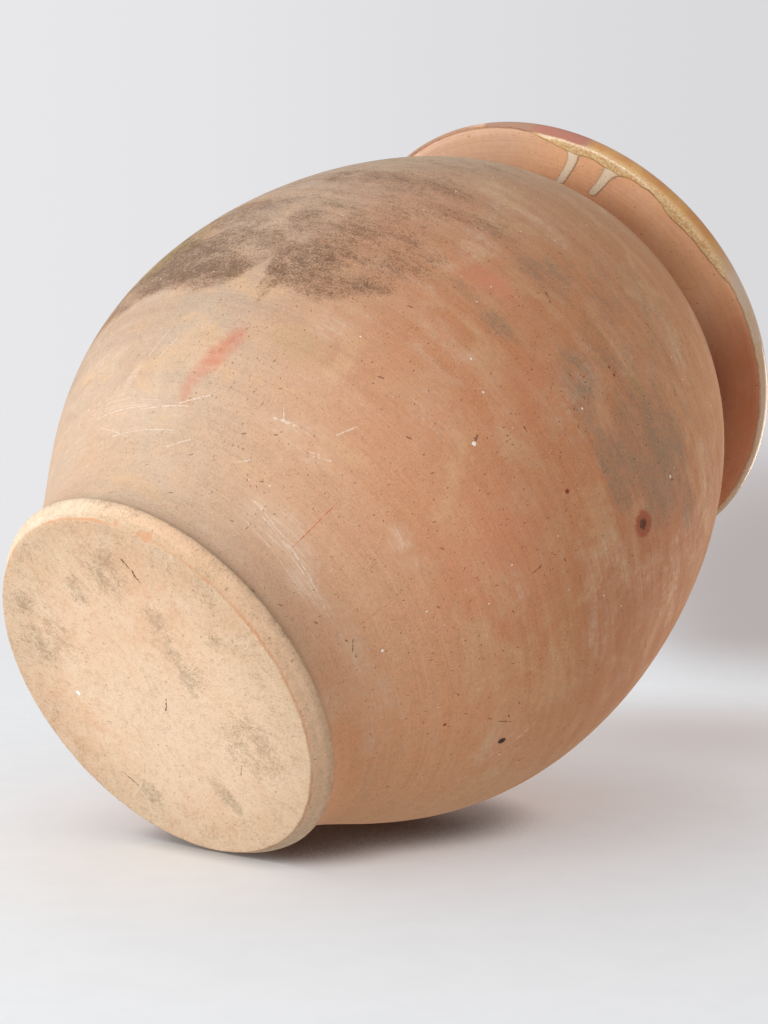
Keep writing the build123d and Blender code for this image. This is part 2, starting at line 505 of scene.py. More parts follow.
@dataclass
class WallStains:
    """Where a long life has marked the outside of the wall."""

    soot_edge: tuple[Pair, ...] = (
        (-180, 170), (-150, 158), (-125, 140), (-111, 136), (-105, 143), (-96, 144), (-88, 137), (-81.5, 142),
        (-79, 151), (-76.2, 166), (-75.2, 160), (-74.4, 143), (-72.2, 135), (-70.8, 147), (-66, 148),
        (-62, 146), (-58, 158), (-54.5, 168), (-52, 180), (-48.5, 192), (-45, 225), (-40, 270), (-20, 330),
        (180, 400),
    )
    soot: tuple[Mark, ...] = rows_of(
        Mark, (-99, 168, 38, 26, 0.78), (-98, 152, 30, 9, 0.7), (-87, 153, 28, 15, 0.74),
        (-72.6, 163, 15, 15, 0.7, 35), (-69, 178, 16, 12, 0.4), (-62.3, 157, 16, 9, 0.5),
        (-57.5, 168, 20, 8, 0.38, 20), (-76.5, 209, 12, 10, 0.5), (-86, 185, 22, 10, 0.4),
        (-80, 268, 44, 12, 0.3), (-70, 282, 56, 9, 0.34), (-91, 222, 34, 22, 0.3),
        (-55, 262, 34, 9, 0.32, 25), (-48.5, 262, 16, 9, 0.3), (-104, 205, 34, 34, 0.3),
        (-128, 215, 70, 48, 0.4), (-60, 205, 34, 22, 0.1),
    )
    smudge: tuple[Mark, ...] = rows_of(
        Mark, (-6.5, 250, 44, 36, 0.48, 20), (-1, 262, 30, 26, 0.3), (-4, 276, 16, 12, 0.3),
        (-11, 207, 18, 10, 0.45), (-7, 222, 22, 16, 0.4), (2.5, 236, 24, 14, 0.5), (9, 272, 16, 14, 0.5),
        (-19, 211, 18, 12, 0.42), (-23.5, 222, 16, 16, 0.45), (-24, 250, 20, 12, 0.3),
        (-39.3, 260, 22, 18, 0.42), (-37.8, 200, 14, 9, 0.4), (-45, 205, 12, 6, 0.3),
        (-4.6, 206, 16, 10, 0.5), (-20, 300, 80, 60, 0.2), (150, 240, 60, 40, 0.5, -15),
        (95, 150, 40, 18, 0.4),
    )
    blush: tuple[Mark, ...] = rows_of(
        Mark, (-42.7, 226, 12, 8, 0.95), (-46, 221, 22, 14, 0.6), (-33.3, 310, 4, 3, 0.6),
        (-26, 182, 22, 40, 0.25), (-9, 120, 40, 32, 0.3), (120, 200, 50, 30, 0.5), (-165, 130, 40, 24, 0.45),
    )
    smear: tuple[Mark, ...] = rows_of(
        Mark, (-77.6, 81, 5, 9, 0.55, 10), (-76.3, 92, 6, 9, 0.75, -30), (-74.4, 101, 7.5, 9, 1, -35),
        (-72.6, 111, 6, 8, 0.85, -35),
    )
    bloom: tuple[Mark, ...] = rows_of(
        Mark, (-36, 46, 26, 11, 1, -12), (-25, 37, 16, 8, 0.8), (-45, 46, 14, 9, 0.7),
        (-105, 70, 44, 42, 0.5), (-95, 89, 3.5, 12, 0.8, -25), (-112, 105, 36, 20, 0.5),
        (-87, 72, 26, 14, 0.45), (-20, 84, 8, 10, 0.5, 35), (-14, 84, 9, 5, 0.5, 60),
        (-57.5, 138, 14, 12, 0.55), (-47, 84, 30, 10, 0.5), (-33, 132, 18, 18, 0.35),
        (31, 105, 60, 22, 0.4, 10), (10, 42, 60, 12, 0.5), (-140, 90, 60, 30, 0.6), (110, 90, 70, 30, 0.45),
        (170, 300, 60, 24, 0.4),
    )
    olive: tuple[Mark, ...] = rows_of(
        Mark, (-106, 190, 24, 34, 1, -30), (-100, 187, 14, 10, 0.6), (-16, 262, 9, 5, 0.6),
        (-60, 120, 20, 10, 0.3),
    )

    def soot_reach(self, bearings: np.ndarray, heights: np.ndarray, radii: np.ndarray) -> np.ndarray:
        """Return how strongly the soot lies at each place: past its ragged lower edge, fading upwards."""
        edge = np.interp(bearings, *zip(*self.soot_edge))
        above = heights - edge
        film = ease(above, -5.0, 6.0) * (0.5 - 0.34 * ease(above, 14.0, 115.0))
        film *= 1.0 - ease(heights, 330.0, 420.0) * 0.6
        film *= 1.0 - ease(bearings, -66.0, -44.0)
        film *= 1.0 - 0.75 * ease(-bearings, 150.0, 180.0)
        clusters = gather(self.soot, bearings, heights, radii) * ease(above, -9.0, 3.0)
        return 1.0 - (1.0 - np.clip(film, 0.0, 1.0)) * (1.0 - clusters)

    def paint_on(self, piece: Piece) -> None:
        """Keep every stain's strength on the vertices of one piece of the wall."""
        bearings, radii, heights = polar(piece)
        paint(piece, "soot", self.soot_reach(bearings, heights, radii))
        for name in ("smudge", "blush", "smear", "bloom", "olive"):
            paint(piece, name, gather(getattr(self, name), bearings, heights, radii))


# ---- shader parts


class Graph:
    """A node tree with short ways to add nodes and join them."""

    def __init__(self, tree: Tree) -> None:
        """Keep the tree that nodes are added to."""
        self.tree = tree

    def feed(self, socket: Socket, source: object) -> None:
        """Join a socket to another, or set its value."""
        if isinstance(source, bpy.types.NodeSocket):
            self.tree.links.new(source, socket)
        else:
            socket.default_value = source

    def put(self, kind: str, feeds: dict[str | int, object] | None = None, **settings: object) -> Node:
        """Add a node.

        Args:
            kind: The node's type.
            feeds: What each input gets, by name or number, a socket or a value.
            **settings: The node's own settings.

        Returns:
            The node.
        """
        node = self.tree.nodes.new(kind)
        for name, value in settings.items():
            setattr(node, name, value)
        for name, source in (feeds or {}).items():
            self.feed(node.inputs[name], source)
        return node

    def work(self, operation: str, *values: object, clamp: bool = False) -> Socket:
        """Add a Math node and return its result."""
        feeds = dict(enumerate(values))
        return self.put("ShaderNodeMath", feeds, operation=operation, use_clamp=clamp).outputs[0]

    def times(self, first: object, second: object, clamp: bool = False) -> Socket:
        """Multiply two values."""
        return self.work("MULTIPLY", first, second, clamp=clamp)

    def plus(self, first: object, second: object) -> Socket:
        """Add two values."""
        return self.work("ADD", first, second)

    def minus(self, first: object, second: object) -> Socket:
        """Take the second value from the first."""
        return self.work("SUBTRACT", first, second)

    def most(self, first: object, second: object) -> Socket:
        """Return the larger of two values."""
        return self.work("MAXIMUM", first, second)

    def steer(self, operation: str, *values: object, answer: str = "Vector") -> Socket:
        """Add a Vector Math node and return its result."""
        feeds = dict(enumerate(values))
        return self.put("ShaderNodeVectorMath", feeds, operation=operation).outputs[answer]

    def gap(self, place: object, other: object) -> Socket:
        """Return the distance between two places."""
        return self.steer("DISTANCE", place, other, answer="Value")

    def along(self, place: object, way: object) -> Socket:
        """Return how far a place lies along a way."""
        return self.steer("DOT_PRODUCT", place, way, answer="Value")

    def length(self, way: object) -> Socket:
        """Return the length of a way."""
        return self.steer("LENGTH", way, answer="Value")

    def split(self, place: object) -> tuple[Socket, Socket, Socket]:
        """Return a place's three coordinates."""
        node = self.put("ShaderNodeSeparateXYZ", {"Vector": place})
        return node.outputs["X"], node.outputs["Y"], node.outputs["Z"]

    def level(self, place: object) -> Socket:
        """Return a place brought down to the ground."""
        return self.steer("MULTIPLY", place, (1.0, 1.0, 0.0))

    def ramp(self, value: object, low: float, high: float, start: float = 0.0, end: float = 1.0) -> Socket:
        """Rise smoothly from start at low to end at high and return the value."""
        feeds = {"Value": value, "From Min": low, "From Max": high, "To Min": start, "To Max": end}
        return self.put("ShaderNodeMapRange", feeds, interpolation_type="SMOOTHSTEP").outputs[0]

    def blend(self, share: object, first: object, second: object, mode: str = "MIX") -> Socket:
        """Mix two colours and return the mixture."""
        feeds = {0: share, 6: first, 7: second}
        return self.put("ShaderNodeMix", feeds, data_type="RGBA", blend_type=mode, clamp_factor=True).outputs[2]

    def cloud(
        self, place: object, scale: float, detail: float = 3.0, rough: float = 0.5, warp: float = 0.0
    ) -> Socket:
        """Add a noise and return its value, about 0.5 on the whole."""
        feeds = {"Vector": place, "Scale": scale, "Detail": detail, "Roughness": rough, "Distortion": warp}
        return self.put("ShaderNodeTexNoise", feeds, noise_dimensions="3D").outputs[0]

    def breaks(self, place: object) -> Socket:
        """Return what makes a scratch thicken and fail along its way."""
        return self.ramp(self.cloud(place, 420.0, 3.0, 0.7), 0.38, 0.62, 0.05, 1.5)

    def stray(self, place: object) -> Socket:
        """Return what makes a spot's rim ragged, around 0."""
        return self.minus(self.cloud(place, 520.0, 4.0, 0.7), 0.5)

    def stain(self, name: str) -> Socket:
        """Return a value kept on the mesh."""
        return self.put("ShaderNodeAttribute", attribute_type="GEOMETRY", attribute_name=name).outputs["Fac"]

    def part(self, tree: Tree, feeds: dict[str, object]) -> Node:
        """Place one of the shared shader parts."""
        return self.put("ShaderNodeGroup", feeds, node_tree=tree)

    def speckled(self, place: object, cells: object, share: object, size: object) -> Socket:
        """Scatter round specks and return their mask."""
        feeds = {"Place": place, "Cells": cells, "Share": share, "Size": size}
        return self.part(specks(), feeds).outputs["Mask"]

    def nicked(
        self, place: object, turn: float, cells: float, share: float, size: float, draw: float
    ) -> Socket:
        """Scatter short slanting nicks and return their mask."""
        feeds = {"Place": place, "Turn": turn, "Cells": cells, "Share": share, "Size": size, "Draw": draw}
        return self.part(gouges(), feeds).outputs["Mask"]

    def scratched(self, place: object, breaks: Socket, start: object, finish: object, width: float) -> Socket:
        """Draw one named scratch, its width in millimetres, and return its mask."""
        feeds = {"Place": place, "Breaks": breaks, "Start": start, "Finish": finish, "Width": width * MM}
        return self.part(scratch(), feeds).outputs["Mask"]

    def spotted(
        self, place: object, stray: Socket, centre: object, radius: float, ragged: float
    ) -> tuple[Socket, Socket]:
        """Put down one named spot, its radius in millimetres, and return its mask and core."""
        feeds = {"Place": place, "Stray": stray, "Centre": centre, "Radius": radius * MM, "Ragged": ragged}
        node = self.part(spot(), feeds)
        return node.outputs["Mask"], node.outputs["Core"]

    def filmed(self, place: object, reach: object, grain: float) -> tuple[Socket, Socket]:
        """Lay a film of soot or dirt and return its mask and its edge."""
        node = self.part(film(), {"Place": place, "Reach": reach, "Grain": grain})
        return node.outputs["Mask"], node.outputs["Edge"]


class Kind(Enum):
    """Socket types of a shader part."""

    NUMBER = "NodeSocketFloat"
    VECTOR = "NodeSocketVector"

    def named(self, *names: str) -> dict[str, Kind]:
        """Return sockets of this type by name."""
        return dict.fromkeys(names, self)


PLACE = Kind.VECTOR.named("Place")
MASK = Kind.NUMBER.named("Mask")


class Part(Graph):
    """A shader part under way, which is a node group with named inputs and outputs."""

    def __init__(self, name: str, takes: dict[str, Kind], gives: dict[str, Kind]) -> None:
        """Start the group.

        Args:
            name: The group's name.
            takes: Its inputs.
            gives: Its outputs.
        """
        super().__init__(bpy.data.node_groups.new(name, "ShaderNodeTree"))
        for way, sockets in (("INPUT", takes), ("OUTPUT", gives)):
            for socket, kind in sockets.items():
                self.tree.interface.new_socket(name=socket, in_out=way, socket_type=kind.value)
        self.inlet = self.put("NodeGroupInput").outputs
        self.outlet = self.put("NodeGroupOutput").inputs

    def give(self, *values: Socket) -> Tree:
        """Feed the outputs in their order and return the finished part."""
        for socket, value in zip(self.outlet, values):
            self.feed(socket, value)
        return self.tree


@functools.cache
def clay_body() -> Tree:
    """Build the variation that runs through all the clay, from hand-wide clouds down to grit."""
    gives = Kind.NUMBER.named("Broad", "Patch", "Fine", "Grit")
    graph = Part("clay_body", PLACE, gives)
    place = graph.inlet["Place"]
    return graph.give(
        graph.cloud(place, 8.0, 3.0, 0.55, 0.4),
        graph.cloud(place, 42.0, 5.0, 0.62, 0.6),
        graph.cloud(place, 240.0, 4.0, 0.62),
        graph.cloud(place, 950.0, 3.0, 0.6),
    )


@functools.cache
def throwing_lines() -> Tree:
    """Build the level lines that a turned pot keeps: soft bands and hair-fine scrapes."""
    gives = Kind.NUMBER.named("Bands", "Scrapes")
    graph = Part("throwing_lines", PLACE, gives)
    place = graph.inlet["Place"]
    wide = graph.steer("MULTIPLY", place, (5.0, 5.0, 150.0))
    thin = graph.steer("MULTIPLY", place, (13.0, 13.0, 1150.0))
    return graph.give(graph.cloud(wide, 1.0, 3.0, 0.55), graph.cloud(thin, 1.0, 3.0, 0.6))


@functools.cache
def unrolled() -> Tree:
    """Build the wall unrolled flat: along its girth and up its height, in metres."""
    graph = Part("unrolled", PLACE, Kind.VECTOR.named("Flat"))
    across, depth, height = graph.split(graph.inlet["Place"])
    bearing = graph.work("ARCTAN2", depth, across)
    flat = graph.put("ShaderNodeCombineXYZ", {"X": graph.times(bearing, GIRTH_R), "Y": height})
    return graph.give(flat.outputs[0])


@functools.cache
def specks() -> Tree:
    """Build scattered round specks or pits, a share of the cells of a flat grid holding one each."""
    takes = PLACE | Kind.NUMBER.named("Cells", "Share", "Size")
    graph = Part("specks", takes, MASK)
    cells = graph.put(
        "ShaderNodeTexVoronoi", {"Vector": graph.inlet["Place"], "Scale": graph.inlet["Cells"]},
        voronoi_dimensions="2D", feature="F1",
    )
    parts = graph.put("ShaderNodeSeparateColor", {"Color": cells.outputs["Color"]})
    size = graph.times(graph.inlet["Size"], graph.plus(parts.outputs[1], 0.45))
    near = graph.work("DIVIDE", cells.outputs["Distance"], size)
    round_mask = graph.ramp(near, 0.65, 1.0, 1.0, 0.0)
    chosen = graph.work("LESS_THAN", parts.outputs[0], graph.inlet["Share"])
    return graph.give(graph.times(round_mask, chosen))


@functools.cache
def gouges() -> Tree:
    """Build short slanting nicks, specks drawn out along one way."""
    takes = PLACE | Kind.NUMBER.named("Turn", "Cells", "Share", "Size", "Draw")
    graph = Part("gouges", takes, MASK)
    turned = graph.put(
        "ShaderNodeVectorRotate", {"Vector": graph.inlet["Place"], "Angle": graph.inlet["Turn"]},
        rotation_type="Z_AXIS",
    )
    bend = graph.put("ShaderNodeCombineXYZ", {"X": 1.0, "Y": graph.inlet["Draw"], "Z": 1.0})
    drawn = graph.steer("MULTIPLY", turned.outputs[0], bend.outputs[0])
    cells, share, size = (graph.inlet[name] for name in ("Cells", "Share", "Size"))
    return graph.give(graph.speckled(drawn, cells, share, size))


@functools.cache
def scratch() -> Tree:
    """Build one named scratch from one place to another, a little broken along its length."""
    takes = Kind.VECTOR.named("Place", "Start", "Finish") | Kind.NUMBER.named("Width", "Breaks")
    graph = Part("scratch", takes, MASK)
    place, start, finish = (graph.inlet[name] for name in ("Place", "Start", "Finish"))
    run = graph.steer("SUBTRACT", finish, start)
    from_start = graph.steer("SUBTRACT", place, start)
    covered = graph.work("DIVIDE", graph.along(from_start, run), graph.along(run, run), clamp=True)
    foot = graph.put("ShaderNodeVectorMath", {0: run, "Scale": covered}, operation="SCALE")
    gap = graph.gap(from_start, foot.outputs[0])
    width = graph.times(graph.inlet["Width"], graph.inlet["Breaks"])
    return graph.give(graph.ramp(graph.work("DIVIDE", gap, width), 0.35, 1.0, 1.0, 0.0))


@functools.cache
def spot() -> Tree:
    """Build one named spot with a ragged rim and a core."""
    takes = Kind.VECTOR.named("Place", "Centre") | Kind.NUMBER.named("Radius", "Ragged", "Stray")
    graph = Part("spot", takes, Kind.NUMBER.named("Mask", "Core"))
    place = graph.inlet["Place"]
    gap = graph.gap(place, graph.inlet["Centre"])
    reach = graph.work("DIVIDE", gap, graph.inlet["Radius"])
    rim = graph.plus(reach, graph.times(graph.inlet["Stray"], graph.inlet["Ragged"]))
    return graph.give(graph.ramp(rim, 0.8, 1.05, 1.0, 0.0), graph.ramp(rim, 0.2, 0.5, 1.0, 0.0))


@functools.cache
def film() -> Tree:
    """Build a film of soot or dirt that breaks up into clusters and grains where it is thin."""
    takes = PLACE | Kind.NUMBER.named("Reach", "Grain")
    graph = Part("film", takes, Kind.NUMBER.named("Mask", "Edge"))
    place, reach = graph.inlet["Place"], graph.inlet["Reach"]
    drawn = graph.steer("MULTIPLY", place, (1.0, 1.0, 1.9))
    clusters = graph.cloud(drawn, 46.0, 5.0, 0.66, 0.5)
    crumbs = graph.cloud(drawn, 250.0, 4.0, 0.7)
    grains = graph.cloud(place, 950.0, 2.0, 0.6)
    level = graph.work("MULTIPLY_ADD", clusters, 1.9, reach)
    level = graph.work("MULTIPLY_ADD", crumbs, 1.7, level)
    level = graph.work("MULTIPLY_ADD", graph.times(grains, graph.inlet["Grain"]), 1.9, level)
    middle = graph.work("MULTIPLY_ADD", graph.inlet["Grain"], 0.95, 2.3)
    here = graph.ramp(reach, 0.02, 0.2)
    mask = graph.ramp(graph.minus(level, middle), -0.45, 0.8)
    mask = graph.times(mask, here)
    edge = graph.ramp(graph.work("MULTIPLY_ADD", graph.minus(clusters, 0.5), 0.8, reach), 0.02, 0.62)
    return graph.give(mask, edge)


# ---- finishes


class Coats(Graph):
    """A material under way, from the body of the clay or glaze out to what lies on it."""

    def __init__(self, name: str) -> None:
        """Start the material, with the place on the piece and the body's variation at hand."""
        self.material = bpy.data.materials.new(name)
        self.material.use_nodes = True
        super().__init__(self.material.node_tree)
        place = self.put("ShaderNodeTexCoord").outputs["Object"]
        self.body = (place, *self.part(clay_body(), {"Place": place}).outputs)
        self.colour: Socket | None = None

    def coat(self, share: object, over: object, strength: float | None = None, mode: str = "MIX") -> None:
        """Lay a colour over the ones before, as thickly as share and strength say."""
        share = share if strength is None else self.times(share, strength)
        self.colour = self.blend(share, self.colour, over, mode)

    def wash(self, value: Socket, low: float, high: float, strength: float, over: object) -> None:
        """Lay a colour over the ones before where a value lies past low, fully from high."""
        self.coat(self.ramp(value, low, high, 0.0, strength), over)

    def fire(
        self, rough: Socket, relief: Socket, strength: float, depth: float, shine: float = 0.5
    ) -> Material:
        """Feed the shader.

        Args:
            rough: The roughness.
            relief: The fine relief, where 1 is as high as the depth.
            strength: How strongly the relief shows.
            depth: The relief's depth in metres.
            shine: How strongly the surface mirrors.

        Returns:
            The finished material.
        """
        bump = self.put("ShaderNodeBump", {"Strength": strength, "Distance": depth, "Height": relief})
        shader = self.tree.nodes["Principled BSDF"].inputs
        self.feed(shader["Base Color"], self.colour)
        self.feed(shader["Roughness"], rough)
        self.feed(shader["Normal"], bump.outputs[0])
        self.feed(shader["Specular IOR Level"], shine)
        return self.material


@dataclass(frozen=True)
class Scratch:
    """A named scratch on the wall from one bearing and height to another, in degrees and millimetres."""

    bearing: float
    height: float
    far_bearing: float
    far_height: float
    width: float


@dataclass(frozen=True)
class Spot:
    """A named spot on the wall at a bearing and a height, in millimetres."""

    bearing: float
    height: float
    radius: float
    ragged: float = 0.4


@dataclass(frozen=True)
class WallClay:
    """Bare terracotta of the wall: rubbed, sooted, nicked and bloomed, with painted light and shade over it."""

    fired: Colour = tint(212, 167, 133)
    warm: Colour = tint(211, 159, 121)
    tan: Colour = tint(214, 174, 132)
    cool: Colour = tint(208, 166, 130)
    dull: Colour = tint(203, 164, 126)
    bloom: Colour = tint(224, 202, 180)
    soot: Colour = tint(80, 54, 37)
    soot_brown: Colour = tint(154, 112, 80)
    smudge: Colour = tint(124, 115, 96)
    blush: Colour = tint(214, 138, 106)
    smear: Colour = tint(188, 108, 82)
    olive: Colour = tint(170, 152, 98)
    nick: Colour = tint(122, 80, 56)
    iron: Colour = tint(184, 98, 60)
    lime: Colour = tint(240, 234, 222)
    # Colour of the painted shade in the crease over the foot and in the throat's groove.
    dirt: Colour = tint(150, 128, 104)
    brown: Colour = tint(134, 94, 68)
    chalky: Colour = tint(228, 188, 156)
    # Painted light and shade, partly the clay's own colour: multipliers that make the wall paler and cooler
    # towards the window light, darker and warmer away from it, on the side that lies on the floor and along the
    # limb, and lighter towards the foot.
    painted_light_left: Colour = (0.72, 0.94, 1.18, 1.0)
    painted_shade_right: Colour = (0.89, 0.66, 0.51, 1.0)
    painted_shade_limb: Colour = (0.82, 0.74, 0.66, 1.0)
    painted_shade_floor_side: Colour = (1.0, 0.95, 0.90, 1.0)
    painted_light_low: Colour = (1.17, 1.11, 1.06, 1.0)

    white_scratches: tuple[Scratch, ...] = rows_of(
        Scratch, (-56, 84.5, -50.8, 87, 0.65), (-55.3, 90.5, -53.8, 86, 0.50), (-43.6, 94, -41.8, 103, 0.58),
        (-45.6, 81, -43.6, 83, 0.72), (-44.2, 81, -40.9, 84, 0.58), (-57.7, 59, -55, 63, 0.50),
        (34.5, 118, 31.2, 127, 0.65), (46.7, 96, 44.7, 97.5, 0.58), (-92, 98, -88.9, 112, 0.4),
        (-88.7, 97, -85.8, 107, 0.4), (-105, 70, -86.2, 72, 0.3), (-102.2, 64, -89.4, 56, 0.26),
        (-96.4, 57, -76, 62, 0.3), (-89, 70, -73.8, 75, 0.3), (-78, 75, -71.4, 82, 0.5),
        (-76.5, 53, -70.8, 60, 0.4), (-47.9, 49, -14.1, 38, 0.26), (-44.2, 46, -19.8, 38, 0.24),
        (-46.5, 39, -24.5, 34, 0.26), (-36, 44, -24.6, 42, 0.3),
    )
    red_scratches: tuple[Scratch, ...] = rows_of(
        Scratch, (-34, 72, -33.5, 45, 0.65), (-9.9, 67, -8.9, 50, 0.36),
    )
    dark_scratches: tuple[Scratch, ...] = rows_of(
        Scratch, (-36.8, 248, -35, 244, 0.79), (-10.1, 301, -8.4, 294, 0.58), (-1.2, 133, -1.6, 139.5, 0.58),
        (27.6, 104.5, 28.6, 112, 0.43), (42.8, 126, 42, 130.5, 0.50), (-6.6, 43.5, -3.8, 40.5, 0.43),
        (-22.6, 168.5, -21.6, 168, 0.65), (-26.4, 143.5, -25.9, 140.8, 0.8), (1.4, 255.5, 1.9, 259.4, 0.7),
    )
    iron_spots: tuple[Spot, ...] = rows_of(
        Spot, (3.7, 218, 8.6, 1), (-9.9, 171, 1.7, 0.8), (-20.9, 248, 1), (-19.4, 248, 1.1),
        (24.9, 77, 1.2, 0.8),
    )
    lime_spots: tuple[Spot, ...] = rows_of(
        Spot, (-25.7, 139, 1.3, 0.9), (-36.4, 171, 0.7, 0.9), (-31.1, 162, 0.6, 0.9), (-18.9, 209, 0.8, 0.9),
        (1, 257, 1, 0.9), (-0.4, 54, 0.9, 0.9),
    )
    holes: tuple[Spot, ...] = (Spot(33.8, 109.0, 2.6, 0.5),)

    def material(self, on_wall: Callable[[float, float], Vector]) -> Material:
        """Build the material.

        Args:
            on_wall: Gives the place of a bearing and a height on the roughened wall, in metres.

        Returns:
            The material.
        """
        graph = Coats("wall_clay")
        place, broad, patch, fine, grit = graph.body
        lines = graph.part(throwing_lines(), {"Place": place})
        bands, scrapes = lines.outputs["Bands"], lines.outputs["Scrapes"]
        _, front, height = graph.split(place)

        graph.colour = graph.blend(graph.ramp(broad, 0.38, 0.62), self.warm, self.cool)
        graph.wash(patch, 0.3, 0.72, 0.75, self.fired)
        graph.wash(height, 0.24, 0.36, 0.8, self.dull)
        # Painted light and shade, partly the clay's own colour change: paler and cooler towards the window
        # light, darker away from it, on the floor side and along the limb, lighter towards the foot.
        toward_shade = graph.along(place, SHADED_SIDE)
        painted_light_shade = graph.blend(graph.ramp(front, -0.07, 0.06), self.painted_light_left, self.painted_shade_floor_side)
        painted_light_shade = graph.blend(graph.ramp(toward_shade, 0.05, 0.21), painted_light_shade, self.painted_shade_right)
        graph.coat(1.0, painted_light_shade, mode="MULTIPLY")
        limb = graph.ramp(graph.along(place, (0.83, 0.55, 0.0)), 0.15, 0.185)
        limb = graph.times(limb, graph.ramp(height, 0.12, 0.2))
        graph.coat(limb, self.painted_shade_limb, mode="MULTIPLY")
        graph.coat(graph.ramp(height, 0.02, 0.15, 1.0, 0.0), self.painted_light_low, mode="MULTIPLY")
        soil = graph.cloud(graph.steer("MULTIPLY", place, (1.0, 1.0, 1.5)), 21.0, 5.0, 0.6, 0.7)
        graph.wash(soil, 0.5, 0.7, 0.5, self.tan)
        graph.wash(soil, 0.46, 0.3, 0.35, self.cool)
        tone = graph.plus(graph.times(fine, 0.5), graph.times(scrapes, 0.5))
        graph.wash(tone, 0.36, 0.66, 0.2, self.brown)
        graph.wash(grit, 0.44, 0.74, 0.3, self.brown)
        graph.wash(grit, 0.44, 0.26, 0.24, self.chalky)
        graph.wash(bands, 0.35, 0.7, 0.12, self.chalky)

        blush = graph.times(graph.stain("blush"), graph.ramp(patch, 0.3, 0.6, 0.45, 1.0))
        graph.coat(blush, self.blush, 0.7)
        smear = graph.times(graph.stain("smear"), graph.ramp(fine, 0.35, 0.6, 0.6, 1.0))
        graph.coat(smear, self.smear, 0.72)

        rubbed = graph.ramp(graph.work("MULTIPLY_ADD", scrapes, 0.6, graph.times(fine, 0.6)), 0.5, 0.78)
        chalk = graph.filmed(place, graph.stain("bloom"), 0.8)[0]
        hatch = graph.ramp(scrapes, 0.47, 0.62)
        bloom = graph.times(chalk, graph.work("MULTIPLY_ADD", hatch, 0.6, 0.3))
        cloudy = graph.ramp(graph.cloud(place, 17.0, 5.0, 0.62, 0.8), 0.48, 0.7, 0.0, 0.62)
        bloom = graph.most(bloom, graph.times(cloudy, rubbed))
        graph.coat(graph.times(bloom, 0.72, clamp=True), self.bloom)

        olive = graph.times(graph.stain("olive"), graph.ramp(patch, 0.35, 0.6, 0.3, 0.8))
        graph.coat(olive, self.olive)
        soot, soot_edge = graph.filmed(place, graph.stain("soot"), 1.0)
        graph.coat(soot_edge, self.soot_brown, 0.36)
        graph.coat(soot, self.soot, 0.7)
        smudge, smudge_edge = graph.filmed(place, graph.stain("smudge"), 0.7)
        graph.coat(smudge_edge, self.smudge, 0.22)
        graph.coat(smudge, self.smudge, 0.6)

        flat = graph.part(unrolled(), {"Place": place}).outputs["Flat"]
        nicks = graph.nicked(flat, 0.35, 190.0, 0.2, 0.056, 0.34)
        for turn, cells, share, draw in ((1.25, 130.0, 0.12, 0.24), (2.2, 210.0, 0.2, 0.46)):
            nicks = graph.most(nicks, graph.nicked(flat, turn, cells, share, 0.056, draw))
        worn = graph.ramp(toward_shade, -0.02, 0.13, 0.35, 1.0)
        nicks = graph.times(nicks, worn)
        pits = graph.speckled(flat, 120.0, 0.22, 0.06)
        dust = graph.speckled(flat, 400.0, 0.16, 0.15)
        rust = graph.speckled(flat, 47.0, 0.12, 0.03)
        lime = graph.speckled(flat, 63.0, 0.12, 0.03)
        flecks = graph.nicked(flat, 0.25, 230.0, 0.34, 0.07, 0.3)
        flecks = graph.times(flecks, graph.ramp(graph.stain("smudge"), 0.15, 0.45))
        nicks = graph.most(nicks, flecks)
        dark = graph.most(nicks, graph.times(pits, 0.8))
        dark = graph.most(dark, graph.times(dust, 0.45))
        graph.coat(dark, self.nick, 0.66)
        graph.coat(rust, self.iron, 0.7)
        graph.coat(lime, self.lime, 0.7)

        # Painted shade in the crease over the foot and in the throat's groove, in the colour named dirt.
        groove = self.painted_crease_shade(graph, height, patch)
        graph.coat(groove, self.dirt)

        relief = graph.times(dark, -0.7)
        breaks, stray = graph.breaks(place), graph.stray(place)
        for share, marks, shown in (
            (0.34, self.white_scratches, self.lime),
            (0.75, self.red_scratches, tint(186, 96, 62)),
            (0.8, self.dark_scratches, self.nick),
        ):
            for mark in marks:
                start = self.unroll(mark.bearing, mark.height)
                finish = self.unroll(mark.far_bearing, mark.far_height)
                line = graph.scratched(flat, breaks, start, finish, mark.width)
                graph.coat(line, shown, share)
                if marks is self.dark_scratches:
                    relief = graph.minus(relief, graph.times(line, 0.6))
        for marks, rim, core, depth in (
            (self.iron_spots, tint(158, 78, 46), tint(88, 44, 28), 0.5),
            (self.lime_spots, self.lime, self.lime, 0.0),
            # The hole's dark rim and near-black core are painted shade inside the hole.
            (self.holes, tint(66, 44, 34), tint(30, 20, 16), 2.5),
        ):
            for mark in marks:
                centre = on_wall(mark.bearing, mark.height)
                mask, heart = graph.spotted(place, stray, centre, mark.radius, mark.ragged)
                graph.coat(mask, rim, 0.9)
                graph.coat(heart, core)
                if depth > 0.0:
                    relief = graph.minus(relief, graph.times(mask, depth))

        skin = graph.plus(graph.times(fine, 0.5), graph.times(grit, 0.3))
        skin = graph.plus(skin, graph.times(scrapes, 0.3))
        rough = graph.minus(graph.ramp(patch, 0.3, 0.7, 0.74, 0.86), graph.times(bloom, 0.06))
        rough = graph.plus(rough, graph.times(soot, 0.1))
        return graph.fire(rough, graph.plus(relief, skin), 0.7, 0.0005, 0.35)

    @staticmethod
    def unroll(bearing: float, height: float) -> Vector:
        """Return the place on the unrolled wall of a bearing in degrees and a height in millimetres."""
        return Vector((math.radians(bearing) * GIRTH_R, height * MM, 0.0))

    @staticmethod
    def painted_crease_shade(graph: Graph, height: Socket, patch: Socket) -> Socket:
        """Return where shade is painted: in the crease over the foot and in the throat's groove."""
        foot = graph.ramp(height, 0.0126, 0.0165, 0.4, 0.0)
        throat = graph.ramp(height, 0.4255, 0.4345, 0.0, 0.6)
        crease_shade = graph.most(foot, throat)
        return graph.times(crease_shade, graph.ramp(patch, 0.25, 0.6, 0.5, 1.0))


